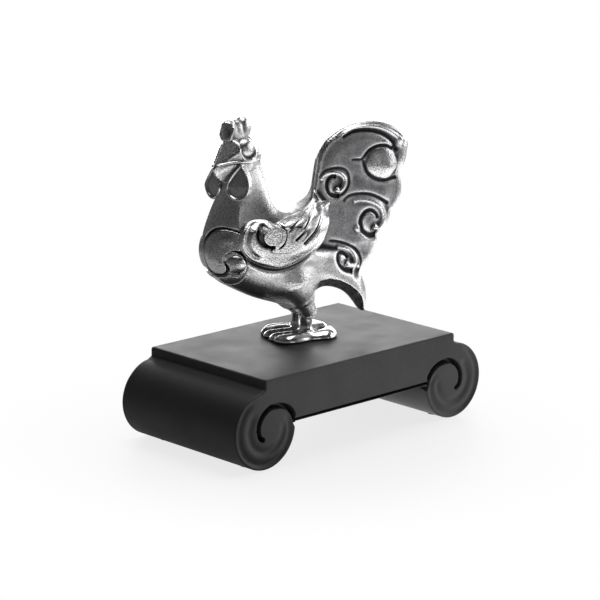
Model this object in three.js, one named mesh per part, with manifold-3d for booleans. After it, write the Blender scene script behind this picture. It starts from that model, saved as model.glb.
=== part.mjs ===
// Rooster figurine: a cast pewter cockerel with scroll ornament on a black lacquered scroll base.
// Millimetres, +Z up, origin at the middle of the resting plane, +X along the long side of the base.
import * as THREE from 'three';
import { mergeVertices } from 'three/addons/utils/BufferGeometryUtils.js';
import Module from 'manifold-3d';

const wasm = await Module();
wasm.setup();

// Base block
const BASE_LENGTH = 120;
const BASE_DEPTH = 60.5;
const BASE_HEIGHT = 32;
const SLAB_LENGTH = 92.5;
const SLAB_THICKNESS = 17.2;
const SLAB_END_DROP = 3.2;
const SCROLL_RADIUS = 13.9;
const SCROLL_FACETS = 32;
const FLAT_DEPTH = 0.2;
const SHOULDER_ANGLE = 66;
const SHOULDER_WIDTH = 1.2;
const SHOULDER_DROP = 1;
const EDGE_ROUND = 0.6;

// Spirals sunk into the ends of the scrolls, from the middle of the scroll: a deep groove and a shallow dish
const GROOVE_DEPTH = 5;
const GROOVE = {
  x: -2.2, z: 0.4, startRadius: 11.6, endRadius: 4.9, startAngle: 177, sweep: -225,
  startWidth: 1.9, endWidth: 0.9, steps: 16,
};
const DISH_DEPTH = 0.8;
const DISH = {
  x: -1, z: -0.6, startRadius: 10.4, endRadius: 6.6, startAngle: 120, sweep: 250,
  startWidth: 1.4, endWidth: 1.4, steps: 13,
};

// Pads under the scrolls
const PAD_RADIUS = 3;
const PAD_THICKNESS = 1.2;
const PAD_STAND_OFF = 0.4;
const PAD_CLEARANCE = 0.3;
const PAD_INSET = 9;

// Fixing screws between base and feet
const SCREW_SHANK_RADIUS = 1.5;
const SCREW_HEAD_RADIUS = 2.8;
const SCREW_HEAD_HEIGHT = 2;
const SCREW_SOCKET_RADIUS = 1.25;
const SCREW_SOCKET_DEPTH = 1.2;
const SCREW_REACH = 2.6;
const WASHER_RADIUS = 3.2;
const WASHER_THICKNESS = 0.6;
const COUNTERBORE_RADIUS = 3.5;
const COUNTERBORE_DEPTH = 5;
const HOLE_CLEARANCE = 0.3;

// Figure: where it stands on the slab and how it is turned
const SIDES = [['left', -1], ['right', 1]];
const FIGURE_X = 2.8;
const FIGURE_Y = 5.3;
const FIGURE_YAW = -18;
const BODY_LIFT = 1.4;
const HEAD_TURN = 22;
const HEAD_TILT = -5;
const HEAD_TILT_HEIGHT = 66;
const NECK_TURN_START = 44;
const NECK_TURN_END = 62;
const SEAM_GAP = 0.3;
const SHELL_SEAM = 0.1;

// Torso ribs from the top of the neck round the body to the end of the tail:
// back edge x and z, front edge x and z, half width, squareness (2 is an ellipse, more is boxier)
const TORSO_RIBS = [
  [-16.6, 64.5, -30.2, 61.5, 5.4, 3.2],
  [-16.0, 60.5, -31.6, 57.5, 5.8, 3.6],
  [-14.7, 55.5, -33.2, 52.5, 6.8, 4],
  [-12.9, 50.8, -34.7, 47.0, 8.0, 4],
  [-10.6, 47.7, -36.7, 40.5, 9.2, 3.4],
  [-8.4, 46.4, -37.8, 34.0, 10.4, 2.8],
  [-6.6, 46.0, -36.5, 28.0, 11.2, 2.4],
  [-5.0, 45.9, -32.7, 22.6, 11.8, 2.3],
  [-3.6, 46.0, -26.0, 18.4, 11.8, 2.3],
  [-2.2, 46.3, -18.0, 14.7, 11.6, 2.3],
  [-0.8, 46.7, -9.5, 12.4, 11.2, 2.3],
  [0.6, 47.4, 0.0, 13.2, 10.4, 2.4],
  [1.9, 48.3, 8.0, 15.8, 8.8, 2.5],
  [3.0, 49.4, 15.0, 14.5, 6.6, 2.7],
  [3.8, 50.8, 20.6, 10.6, 4.9, 3],
  [4.4, 52.2, 26.3, 5.8, 3.8, 3.4],
  [4.8, 53.6, 26.4, 13.0, 3.3, 3.6],
  [5.1, 55.0, 25.6, 20.4, 3.0, 3.8],
  [5.4, 56.4, 30.8, 23.2, 2.8, 4],
  [5.6, 57.8, 32.4, 28.0, 2.8, 4],
  [5.9, 59.4, 31.6, 32.7, 2.7, 4],
  [6.2, 61.2, 35.8, 36.0, 2.7, 4],
  [6.7, 63.4, 40.2, 43.0, 2.7, 4],
  [7.6, 65.8, 41.0, 50.0, 2.7, 4],
  [9.2, 68.2, 39.5, 55.5, 2.6, 4],
  [11.8, 70.6, 42.7, 60.0, 2.6, 4],
  [15.2, 72.7, 43.0, 65.0, 2.5, 4],
  [19.6, 74.3, 41.0, 69.2, 2.4, 3.4],
  [25.0, 75.0, 36.6, 72.4, 2.2, 3],
  [29.0, 75.0, 33.0, 74.0, 1.6, 2.4],
];
const RING_POINTS = 22;
const BORE_FACETS = 18;

// Thighs, legs and feet
const LEG_SPACING = 7.6;
const LEG_HEIGHT = 7.6;
const SHANK_RADIUS = 2.2;
const INSTEP_HEIGHT = 2.6;
const TOE_RINGS = 5;
// Toes of a foot, outer, middle, inner and back: from x and y outwards, to x and y, width, height
const TOES = [
  [0.5, 7, -12, 8.7, 3.7, 3.3],
  [-1, 4.5, -13, 4.7, 3.2, 2.7],
  [-1, 2.6, -12.6, 1.7, 2.8, 2.5],
  [0, 5.8, 13, 5.6, 3.8, 3.4],
];
// Half section of a toe over the slab, share of its width where it starts, and where its tip begins to round
const TOE_SECTION = [[-0.8, 0], [-1, 0.4], [-0.7, 0.85], [0, 1], [0.7, 0.85], [1, 0.4], [0.8, 0]];
const TOE_ROOT_SHARE = 0.75;
const TOE_ROUND_FROM = 0.6;
const TOE_TIP_SHARE = 0.25;
const INSTEP = [5.6, 3.6, 2];
// Thigh from the cuff up: x, height above the cuff, radius
const THIGH_LEVELS = [
  [0.9, 0, 3.2],
  [0.8, 1.1, 3.9],
  [-1, 3.7, 4.7],
  [-2.6, 6, 5.4],
  [-6.2, 13, 7.4],
];

// Raised castings on the flanks and breast
const WING_RELIEF = 1.7;
const WING_BALL_RELIEF = 1.5;
const WING_GROOVE_DEPTH = 0.9;
const WING_GROOVE_WIDTH = 1.2;
const BREAST_RELIEF = 1.3;
const TAIL_GROOVE_DEPTH = 0.7;
const RELIEF_REACH = 30;

// Head
const HEAD_X = -23.2;
const EYE_RADIUS = 2.8;
const EYE_BULGE = 0.6;
const EYE_SQUASH = 0.9;
const RIDGE_RADIUS = 0.5;
const WATTLE_WIDTH = 9.4;
const WATTLE_HEIGHT = 12.2;
const WATTLE_THICKNESS = 2.6;
const WATTLE_EDGE = 0.5;
const WATTLE_SPLAY = 66;
const WATTLE_PLACE = [-8.3, 6.5, 57.3];
const COMB_LOBE_RADIUS = 4;
const COMB_HEIGHT = 8.2;
const COMB_THICKNESS = 5.8;

// Finishes
function finish(color, roughness, metalness) {
  return new THREE.MeshStandardMaterial({ color, roughness, metalness });
}

const bodyFinish = () => finish(0x9b9b9b, 0.42, 1);
const wingFinish = () => finish(0xc4c4c4, 0.38, 1);
const headFinish = () => finish(0x8c8c8c, 0.36, 1);
const footFinish = () => finish(0xe6e6e6, 0.14, 1);
const lacquer = () => finish(0x161616, 0.6, 0);
const felt = () => finish(0x1d1d1d, 1, 0);
const zinc = () => finish(0xb9bcc0, 0.35, 1);

const radians = THREE.MathUtils.degToRad;
const smooth = THREE.MathUtils.smoothstep;

// Closed mesh to solid and back
function solid(geometry) {
  const plain = geometry.clone();
  for (const name of ['normal', 'uv']) plain.deleteAttribute(name);
  const merged = mergeVertices(plain, 1e-4);
  const vertProperties = new Float32Array(merged.attributes.position.array);
  const triVerts = new Uint32Array(merged.index.array);
  const body = new wasm.Manifold(new wasm.Mesh({ numProp: 3, vertProperties, triVerts }));
  if (body.volume() > 0) return body;
  for (let i = 0; i < triVerts.length; i += 3) {
    [triVerts[i], triVerts[i + 1]] = [triVerts[i + 1], triVerts[i]];
  }
  return new wasm.Manifold(new wasm.Mesh({ numProp: 3, vertProperties, triVerts }));
}

function geometryOf(body) {
  const mesh = body.getMesh();
  const geometry = new THREE.BufferGeometry();
  geometry.setAttribute('position', new THREE.BufferAttribute(new Float32Array(mesh.vertProperties), 3));
  geometry.setIndex(new THREE.BufferAttribute(new Uint32Array(mesh.triVerts), 1));
  const flat = geometry.toNonIndexed();
  flat.computeVertexNormals();
  return flat;
}

const join = (...bodies) => bodies.reduce((sum, body) => sum.add(body));
const cut = (body, ...tools) => tools.reduce((rest, tool) => rest.subtract(tool), body);

// Skin over rings of equal point count, closed by a fan at each end
function loft(rings) {
  const count = rings[0].length;
  const points = rings.flat();
  const index = [];
  for (let r = 0; r + 1 < rings.length; r++) {
    for (let i = 0; i < count; i++) {
      const a = r * count + i;
      const b = r * count + (i + 1) % count;
      index.push(a, b, b + count, a, b + count, a + count);
    }
  }
  const ends = [[0, true], [rings.length - 1, false]];
  for (const [r, first] of ends) {
    const centre = rings[r].reduce((sum, p) => sum.add(p), new THREE.Vector3()).divideScalar(count);
    const hub = points.push(centre) - 1;
    for (let i = 0; i < count; i++) {
      const a = r * count + i;
      const b = r * count + (i + 1) % count;
      index.push(...(first ? [hub, b, a] : [hub, a, b]));
    }
  }
  const geometry = new THREE.BufferGeometry().setFromPoints(points);
  geometry.setIndex(index);
  return solid(geometry);
}

// Rounded-square ring: squareness 2 is an ellipse, more is boxier
function ring(centre, along, across, squareness, count = RING_POINTS) {
  const points = [];
  for (let i = 0; i < count; i++) {
    const angle = (i + 0.5) * 2 * Math.PI / count;
    const power = (value) => Math.sign(value) * Math.abs(value) ** (2 / squareness);
    points.push(centre.clone()
      .addScaledVector(along, power(Math.cos(angle)))
      .addScaledVector(across, power(Math.sin(angle))));
  }
  return points;
}

// Outline in the X-Z plane pushed through from one Y to another
function prism(outline, fromY, toY) {
  const shape = new THREE.Shape(outline.map(([x, z]) => new THREE.Vector2(x, z)));
  const geometry = new THREE.ExtrudeGeometry(shape, { depth: toY - fromY, bevelEnabled: false });
  geometry.rotateX(Math.PI / 2);
  geometry.translate(0, toY, 0);
  return solid(geometry);
}

function turned(radius, fromZ, toZ, x = 0, y = 0, facets = BORE_FACETS) {
  const geometry = new THREE.CylinderGeometry(radius, radius, toZ - fromZ, facets);
  geometry.rotateX(Math.PI / 2);
  geometry.translate(x, y, (fromZ + toZ) / 2);
  return solid(geometry);
}

// Band that follows a spiral from one radius and width to another
function spiralBand({
  x, z, startRadius, endRadius, startAngle, sweep, startWidth, endWidth, steps, squash = 1,
}) {
  const outer = [];
  const inner = [];
  for (let i = 0; i <= steps; i++) {
    const t = i / steps;
    const angle = radians(startAngle + sweep * t);
    const radius = startRadius + (endRadius - startRadius) * t ** 0.8;
    const half = (startWidth + (endWidth - startWidth) * t) / 2;
    outer.push([x + (radius + half) * Math.cos(angle) * squash, z + (radius + half) * Math.sin(angle)]);
    inner.push([x + (radius - half) * Math.cos(angle) * squash, z + (radius - half) * Math.sin(angle)]);
  }
  return [...outer, ...inner.reverse()];
}

function smoothCurve(points, closed) {
  const path = points.map(([x, z]) => new THREE.Vector3(x, 0, z));
  return new THREE.CatmullRomCurve3(path, closed, 'centripetal');
}

// Smooth closed outline through a few points
function blob(points, divisions) {
  return smoothCurve(points, true).getSpacedPoints(divisions).slice(0, divisions).map((p) => [p.x, p.z]);
}

// Strip of even width along a curve through a few points
function strip(points, width, steps) {
  const curve = smoothCurve(points, false);
  const left = [];
  const right = [];
  for (let i = 0; i <= steps; i++) {
    const p = curve.getPoint(i / steps);
    const d = curve.getTangent(i / steps).multiplyScalar(width / 2);
    left.push([p.x - d.z, p.z + d.x]);
    right.push([p.x + d.z, p.z - d.x]);
  }
  return [...left, ...right.reverse()];
}

// Base block with a scroll at each end
const scrollX = BASE_LENGTH / 2 - SCROLL_RADIUS;
const baseFloor = PAD_STAND_OFF;
const scrollZ = SCROLL_RADIUS + baseFloor - FLAT_DEPTH;
const slabUnder = BASE_HEIGHT - SLAB_THICKNESS;
const slabHalf = SLAB_LENGTH / 2;

function baseOutline() {
  const under = Math.asin((slabUnder - scrollZ) / SCROLL_RADIUS);
  const inward = Math.PI - under;
  const coveZ = BASE_HEIGHT - SLAB_END_DROP;
  const outwardAngle = radians(SHOULDER_ANGLE);
  const half = [
    [slabHalf - EDGE_ROUND, BASE_HEIGHT], [slabHalf, BASE_HEIGHT - EDGE_ROUND],
    [slabHalf, coveZ], [slabHalf + SHOULDER_WIDTH, coveZ - SHOULDER_DROP],
  ];
  for (let i = 0; i <= SCROLL_FACETS; i++) {
    const angle = outwardAngle - (outwardAngle + 2 * Math.PI - inward) * i / SCROLL_FACETS;
    const z = scrollZ + SCROLL_RADIUS * Math.sin(angle);
    half.push([scrollX + SCROLL_RADIUS * Math.cos(angle), Math.max(z, baseFloor)]);
  }
  const mirrored = half.map(([x, z]) => [-x, z]).reverse();
  return [...half, ...mirrored];
}

function baseBlock() {
  const halfDepth = BASE_DEPTH / 2;
  const tools = [];
  for (const end of [-1, 1]) {
    const mirror = (outline) => outline.map(([x, z]) => [end * (scrollX + x), scrollZ + z]);
    const bands = [[mirror(spiralBand(GROOVE)), GROOVE_DEPTH], [mirror(spiralBand(DISH)), DISH_DEPTH]];
    for (const side of [-1, 1]) {
      const face = side * halfDepth;
      for (const [outline, depth] of bands) {
        const inner = face - side * depth;
        tools.push(prism(outline, Math.min(inner, face + side), Math.max(inner, face + side)));
      }
      const pocket = PAD_RADIUS + PAD_CLEARANCE;
      const top = PAD_THICKNESS + PAD_CLEARANCE;
      tools.push(turned(pocket, -1, top, end * scrollX, side * (halfDepth - PAD_INSET)));
    }
  }
  for (const leg of legPlaces()) {
    tools.push(turned(COUNTERBORE_RADIUS, slabUnder - 1, slabUnder + COUNTERBORE_DEPTH, leg.x, leg.y));
    tools.push(turned(SCREW_SHANK_RADIUS + HOLE_CLEARANCE, slabUnder, BASE_HEIGHT + 1, leg.x, leg.y));
  }
  return cut(prism(baseOutline(), -halfDepth, halfDepth), ...tools);
}

// Places of the two legs on the slab
function legPlaces() {
  const yaw = radians(FIGURE_YAW);
  return SIDES.map(([name, side]) => {
    const across = side * LEG_SPACING / 2;
    return { name, side, x: FIGURE_X - across * Math.sin(yaw), y: FIGURE_Y + across * Math.cos(yaw) };
  });
}

// Torso skin, swollen or shrunk evenly by extra
function torso(extra = 0) {
  const rings = TORSO_RIBS.map(([backX, backZ, frontX, frontZ, halfWidth, squareness]) => {
    const back = new THREE.Vector3(backX, 0, backZ);
    const front = new THREE.Vector3(frontX, 0, frontZ);
    const centre = back.clone().add(front).divideScalar(2);
    const along = back.clone().sub(centre);
    along.setLength(along.length() + extra);
    const across = new THREE.Vector3(0, halfWidth + extra, 0);
    const twist = frontX < HEAD_X ? smooth(centre.z, NECK_TURN_START, NECK_TURN_END) : 0;
    const turn = radians(HEAD_TURN) * twist;
    const axis = new THREE.Vector3(0, 0, 1);
    along.applyAxisAngle(axis, turn);
    across.applyAxisAngle(axis, turn);
    return ring(centre, along, across, squareness);
  });
  return loft(rings);
}

// Lower edge of the thighs, in the body's own frame
const cuffZ = LEG_HEIGHT + SEAM_GAP - BODY_LIFT;

// Thigh that swells out of the belly and ends in a cuff over the shank
function thigh(side) {
  const y = side * LEG_SPACING / 2;
  return loft(THIGH_LEVELS.map(([x, height, radius]) => ring(
    new THREE.Vector3(x, y, cuffZ + height),
    new THREE.Vector3(radius, 0, 0),
    new THREE.Vector3(0, radius, 0), 2, 16)));
}

// Grooves that draw the tail scrolls: centre, radii, angles and widths
const TAIL_SCROLLS = [
  {
    x: 12.4, z: 55.2, startRadius: 5.6, endRadius: 2.6, startAngle: 160, sweep: -400,
    startWidth: 0.7, endWidth: 1.3, squash: 0.9, steps: 13,
  },
  {
    x: 30.2, z: 60, startRadius: 7, endRadius: 6.4, startAngle: 40, sweep: 280,
    startWidth: 0.8, endWidth: 1.1, steps: 11,
  },
  {
    x: 27, z: 40.4, startRadius: 8.4, endRadius: 3.6, startAngle: 120, sweep: -400,
    startWidth: 0.7, endWidth: 1.6, squash: 0.85, steps: 13,
  },
  {
    x: 15.8, z: 26.8, startRadius: 7.2, endRadius: 3, startAngle: 115, sweep: -400,
    startWidth: 0.7, endWidth: 1.4, squash: 0.85, steps: 13,
  },
];
const TAIL_RIM = [[12.6, 67.4], [18.4, 71.2], [26, 72], [34, 69.8], [39.6, 65.4]];
const TAIL_RIM_WIDTH = 1;

// Reach of a tool in Y on one side of the mid-plane
const outward = (side, from) => (side < 0 ? [-RELIEF_REACH, -from] : [from, RELIEF_REACH]);

function shell(side, skin, core) {
  const half = prism([[-60, -5], [60, -5], [60, 95], [-60, 95]], ...outward(side, SHELL_SEAM / 2));
  const lines = TAIL_SCROLLS.map(spiralBand);
  lines.push(strip(TAIL_RIM, TAIL_RIM_WIDTH, 8));
  const [fromY, toY] = outward(side, 0.5);
  const grooves = lines.map((outline) => cut(prism(outline, fromY, toY), core));
  return cut(join(skin, thigh(side)).intersect(half), ...grooves);
}

// Piece of casting that lies on the torso like a second skin
function relief(outline, side, height, seat) {
  const [fromY, toY] = outward(side, 2);
  return prism(outline, fromY, toY).intersect(torso(height + SEAM_GAP)).subtract(seat);
}

const WING_OUTLINE = [
  [8.2, 50.2], [7.4, 44], [5.6, 38.6], [1.6, 32.8], [-4.6, 29.2], [-12, 27.6], [-19.8, 29],
  [-25.4, 33], [-28.4, 38.4], [-28, 43.2], [-24.4, 46.2], [-19.4, 46], [-14.4, 43.4], [-7, 45.4], [1, 48.9],
];
const WING_OUTLINE_POINTS = 26;
const FEATHER_LINES = [
  [[0.6, 48.8], [-5.4, 45.6], [-11.6, 41.4]],
  [[3, 48.6], [-2.6, 43.4], [-7.6, 37.8]],
  [[5.2, 48], [1, 41.6], [-4.6, 35.8]],
];
const WING_EYE = { x: -17.9, z: 41, radius: 4.2 };

function wing(side, seat) {
  const [fromY, toY] = outward(side, 2);
  const floor = torso(SEAM_GAP + WING_RELIEF - WING_GROOVE_DEPTH);
  const lines = FEATHER_LINES.map((points) => strip(points, WING_GROOVE_WIDTH, 4));
  lines.push(spiralBand({
    x: WING_EYE.x, z: WING_EYE.z,
    startRadius: WING_EYE.radius + 1.1, endRadius: WING_EYE.radius + 0.6,
    startAngle: 150, sweep: 215, startWidth: 0.5, endWidth: 1.6, steps: 11,
  }));
  const grooves = lines.map((outline) => cut(prism(outline, fromY, toY), floor));
  const feather = cut(relief(blob(WING_OUTLINE, WING_OUTLINE_POINTS), side, WING_RELIEF, seat), ...grooves);
  const eye = relief(circle(WING_EYE, 16), side, WING_RELIEF + WING_BALL_RELIEF, seat);
  return join(feather, eye);
}

function circle({ x, z, radius }, count) {
  return Array.from({ length: count }, (_, i) => {
    const angle = 2 * Math.PI * i / count;
    return [x + radius * Math.cos(angle), z + radius * Math.sin(angle)];
  });
}

const BREAST_SWEEP = {
  x: -30.8, z: 34.6, startRadius: 6.8, endRadius: 5.8, startAngle: 62, sweep: 200,
  startWidth: 1, endWidth: 4.6, steps: 12,
};
const BREAST_EYE = { x: -28.8, z: 29, radius: 4.4 };

function breastScroll(side, seat, wingClear) {
  const sweep = relief(spiralBand(BREAST_SWEEP), side, BREAST_RELIEF, seat);
  const eye = relief(circle(BREAST_EYE, 16), side, BREAST_RELIEF * 1.6, seat);
  return cut(join(sweep, eye), wingClear);
}

// Head, in a frame turned with the neck: X back from the neck axis, Z still up.
// Flat facets of brow, cheek and jaw: normal, then a point on the facet, for the head's positive-Y side
const FOREHEAD = [[-0.56, 0, 0.83], [-13.2, 0, 65]];
const CHEEK = [[-0.457, 0.871, 0.184], [-2, 6.5, 65.4]];
const JAW = [[-0.36, 0.81, -0.46], [-2, 6.5, 65.4]];
const BEAK_TIP = [[-0.92, 0, -0.4], [-13.2, 0, 64.6]];
// Ridges over the eye and along the beak
const BROW = [[-11.4, 1.5, 65.7], [-8.9, 3.1, 67.4], [-6.4, 4.3, 69.1], [-0.8, 5.6, 72.8]];
const GAPE = [[-12.2, 1.3, 64.3], [-8.5, 3.9, 65], [-5, 5.6, 65.2], [-2, 6.4, 65.4], [3.4, 6.1, 66.3]];
const EYE = [-2.3, 5, 69.4];

// Ball stretched to three radii
function egg([x, y, z], [radiusX, radiusY, radiusZ], facets = 16) {
  const geometry = new THREE.SphereGeometry(1, facets, Math.round(facets * 0.6));
  geometry.scale(radiusX, radiusY, radiusZ);
  geometry.translate(x, y, z);
  return solid(geometry);
}

// Cuts away what lies beyond a facet, on one side of the head
function facet(body, [[nx, ny, nz], [x, y, z]], side) {
  const normal = new THREE.Vector3(-nx, -ny * side, -nz).normalize();
  return body.trimByPlane(normal.toArray(), normal.dot(new THREE.Vector3(x, y * side, z)));
}

function headSolid() {
  let skull = join(egg([0, 0, 66.6], [7.4, 6.9, 7.6]), egg([-4.2, 0, 65.6], [10.4, 6.9, 7.6]));
  for (const side of [-1, 1]) {
    for (const plane of [FOREHEAD, CHEEK, JAW, BEAK_TIP]) skull = facet(skull, plane, side);
  }
  const parts = [skull, egg([0.2, 0, 68.2], [5.6, 5.4, 5.2])];
  for (const side of [-1, 1]) {
    const [x, y, z] = EYE;
    parts.push(egg([x, side * y, z], [EYE_RADIUS, EYE_RADIUS * EYE_BULGE, EYE_RADIUS * EYE_SQUASH], 12));
    for (const line of [BROW, GAPE]) {
      const path = line.map((point) => new THREE.Vector3(point[0], side * point[1], point[2]));
      const curve = new THREE.CatmullRomCurve3(path);
      const section = new THREE.Shape().absarc(0, 0, RIDGE_RADIUS, 0, 2 * Math.PI);
      parts.push(solid(new THREE.ExtrudeGeometry(section, {
        steps: 5, curveSegments: 2, extrudePath: curve, bevelEnabled: false,
      })));
    }
  }
  return join(...parts);
}

// Comb lobes: x, z, and their stretch along X and Z
const COMB_LOBES = [[-4, 75.4, 1.05, 1.08], [1.9, 75.8, 0.92, 1.08], [-1.6, 73.6, 1.35, 0.75]];

function combSolid() {
  return join(...COMB_LOBES.map(([x, z, wide, tall]) => egg(
    [x, 0, z], [COMB_LOBE_RADIUS * wide, COMB_THICKNESS / 2, tall * COMB_HEIGHT / 2], 12)));
}

function wattleSolid(side) {
  const half = WATTLE_WIDTH / 2;
  const shape = new THREE.Shape();
  shape.moveTo(0, WATTLE_HEIGHT - half);
  shape.quadraticCurveTo(-half * 0.5, WATTLE_HEIGHT * 0.5, -half, 0);
  shape.absarc(0, 0, half, Math.PI, 2 * Math.PI, false);
  shape.quadraticCurveTo(half * 0.5, WATTLE_HEIGHT * 0.5, 0, WATTLE_HEIGHT - half);
  const bevel = WATTLE_EDGE;
  const geometry = new THREE.ExtrudeGeometry(shape, {
    depth: WATTLE_THICKNESS - 2 * bevel, curveSegments: 7,
    bevelThickness: bevel, bevelSize: bevel, bevelOffset: -bevel, bevelSegments: 2,
  });
  geometry.translate(0, 0, -WATTLE_THICKNESS / 2);
  geometry.rotateX(Math.PI / 2);
  geometry.rotateZ(side * radians(WATTLE_SPLAY));
  const [x, y, z] = WATTLE_PLACE;
  geometry.translate(x, side * y, z);
  return solid(geometry);
}

// Leg casting: flat-soled foot with three front toes and one behind, and a short shank
function toe([fromX, fromY, toX, toY, width, height], side) {
  const run = new THREE.Vector3(toX - fromX, side * (toY - fromY), 0);
  const across = new THREE.Vector3(-run.y, run.x, 0).setLength(width / 2);
  const start = new THREE.Vector3(fromX, side * fromY, 0);
  const rings = [];
  for (let i = 0; i <= TOE_RINGS; i++) {
    const t = i / TOE_RINGS;
    const swell = THREE.MathUtils.lerp(TOE_ROOT_SHARE, 1, Math.min(t / TOE_ROUND_FROM, 1));
    const tip = Math.max(t - TOE_ROUND_FROM, 0) / (1 - TOE_ROUND_FROM);
    const round = Math.sqrt(Math.max(1 - tip ** 2, TOE_TIP_SHARE ** 2));
    const centre = start.clone().addScaledVector(run, t);
    rings.push(TOE_SECTION.map(([y, z]) => {
      const point = centre.clone().addScaledVector(across, y * round * swell);
      return point.setZ(z * height * round * swell);
    }));
  }
  return loft(rings);
}

function leg(side) {
  const across = side * LEG_SPACING / 2;
  const profile = [
    [0, SEAM_GAP], [SHANK_RADIUS * 1.6, SEAM_GAP], [SHANK_RADIUS * 1.4, INSTEP_HEIGHT],
    [SHANK_RADIUS * 1.05, INSTEP_HEIGHT + 1.4], [SHANK_RADIUS, LEG_HEIGHT], [0, LEG_HEIGHT],
  ];
  const shank = new THREE.LatheGeometry(profile.map(([r, z]) => new THREE.Vector2(r, z)), 16);
  shank.rotateX(Math.PI / 2);
  shank.translate(0, across, 0);
  const instep = egg([-0.4, across * 1.15, 0.6], INSTEP, 12);
  const foot = join(...TOES.map((line) => toe(line, side)), instep, solid(shank));
  const bore = turned(SCREW_SHANK_RADIUS + HOLE_CLEARANCE / 2, -1, SCREW_REACH + HOLE_CLEARANCE, 0, across);
  return cut(foot.trimByPlane([0, 0, 1], 0).trimByPlane([0, side, 0], SEAM_GAP / 2), bore);
}

function screwSolid() {
  const headZ = slabUnder + COUNTERBORE_DEPTH - WASHER_THICKNESS - 2 * SEAM_GAP;
  const faceZ = headZ - SCREW_HEAD_HEIGHT;
  const head = turned(SCREW_HEAD_RADIUS, faceZ, headZ);
  const shank = turned(SCREW_SHANK_RADIUS, headZ - 0.5, BASE_HEIGHT + SCREW_REACH);
  const socket = turned(SCREW_SOCKET_RADIUS, faceZ - 1, faceZ + SCREW_SOCKET_DEPTH, 0, 0, 6);
  return cut(join(head, shank), socket);
}

function washerSolid() {
  const top = slabUnder + COUNTERBORE_DEPTH - SEAM_GAP;
  const disc = turned(WASHER_RADIUS, top - WASHER_THICKNESS, top);
  return cut(disc, turned(SCREW_SHANK_RADIUS + HOLE_CLEARANCE, 0, BASE_HEIGHT));
}

// Assembly
const model = new THREE.Group();
const figure = new THREE.Group();
figure.position.set(FIGURE_X, FIGURE_Y, BASE_HEIGHT + SEAM_GAP);
figure.rotation.z = radians(FIGURE_YAW);
model.add(figure);

const casting = new THREE.Group();
casting.position.z = BODY_LIFT;
figure.add(casting);

const head = new THREE.Group();
head.position.set(HEAD_X, 0, HEAD_TILT_HEIGHT);
head.rotation.set(radians(HEAD_TILT), 0, radians(HEAD_TURN), 'ZYX');
casting.add(head);

function place(parent, name, body, material, x = 0, y = 0) {
  const mesh = new THREE.Mesh(geometryOf(body), material);
  mesh.name = name;
  mesh.position.set(x, y, 0);
  parent.add(mesh);
}

// From the body's frame to the head group's, and from the head's drawing to that group
const toHeadFrame = (body) => body
  .translate([-HEAD_X, 0, -HEAD_TILT_HEIGHT])
  .rotate([0, 0, -HEAD_TURN])
  .rotate([-HEAD_TILT, 0, 0]);
const tilted = (body) => body.translate([0, 0, -HEAD_TILT_HEIGHT]);

place(model, 'scroll_base', baseBlock(), lacquer());
for (const [end, along] of [['left', -1], ['right', 1]]) {
  for (const [row, across] of [['front', -1], ['back', 1]]) {
    const pad = turned(PAD_RADIUS, 0, PAD_THICKNESS);
    place(model, `pad_${row}_${end}`, pad, felt(), along * scrollX, across * (BASE_DEPTH / 2 - PAD_INSET));
  }
}
for (const { name, x, y } of legPlaces()) {
  place(model, `${name}_fixing_screw`, screwSolid(), zinc(), x, y);
  place(model, `${name}_washer`, washerSolid(), zinc(), x, y);
}

const skin = torso();
const core = torso(-TAIL_GROOVE_DEPTH);
const seat = torso(SEAM_GAP);
const neckSeat = toHeadFrame(seat);
const skull = tilted(headSolid());
const raisedSkull = skull.translate([0, 0, SEAM_GAP]);
const loweredSkull = skull.translate([0, 0, -SEAM_GAP]);
place(head, 'head', cut(skull, neckSeat), headFinish());
place(head, 'comb', cut(tilted(combSolid()), skull, raisedSkull), headFinish());

const wingOutline = blob(WING_OUTLINE, WING_OUTLINE_POINTS).map(([x, z]) => [x - SEAM_GAP * 1.5, z]);
const wingClear = prism(wingOutline, -RELIEF_REACH, RELIEF_REACH);

for (const [name, side] of SIDES) {
  place(casting, `${name}_body_shell`, shell(side, skin, core), bodyFinish());
  place(figure, `${name}_leg`, leg(side), footFinish());
  place(casting, `${name}_wing`, cut(wing(side, seat), thigh(side)), wingFinish());
  place(casting, `${name}_breast_scroll`, breastScroll(side, seat, wingClear), bodyFinish());
  place(head, `${name}_wattle`, cut(tilted(wattleSolid(side)), skull, loweredSkull, neckSeat), headFinish());
}

export default model;
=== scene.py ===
"""Cast pewter rooster with scroll ornament on a black scroll base, in a plain studio.

The figure is sculpted in blocks of voxels that hold distances to its surface. A torso is
lofted over ribs, scrolls are raised and cut on its sides, and the skin is taken off as a mesh.
Sizes are millimetres in the figure's own frame: X from breast to tail, Y away from the
rooster's left side, Z up from the top of the base. Meshes are placed in metres at the end.
"""
import math

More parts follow.
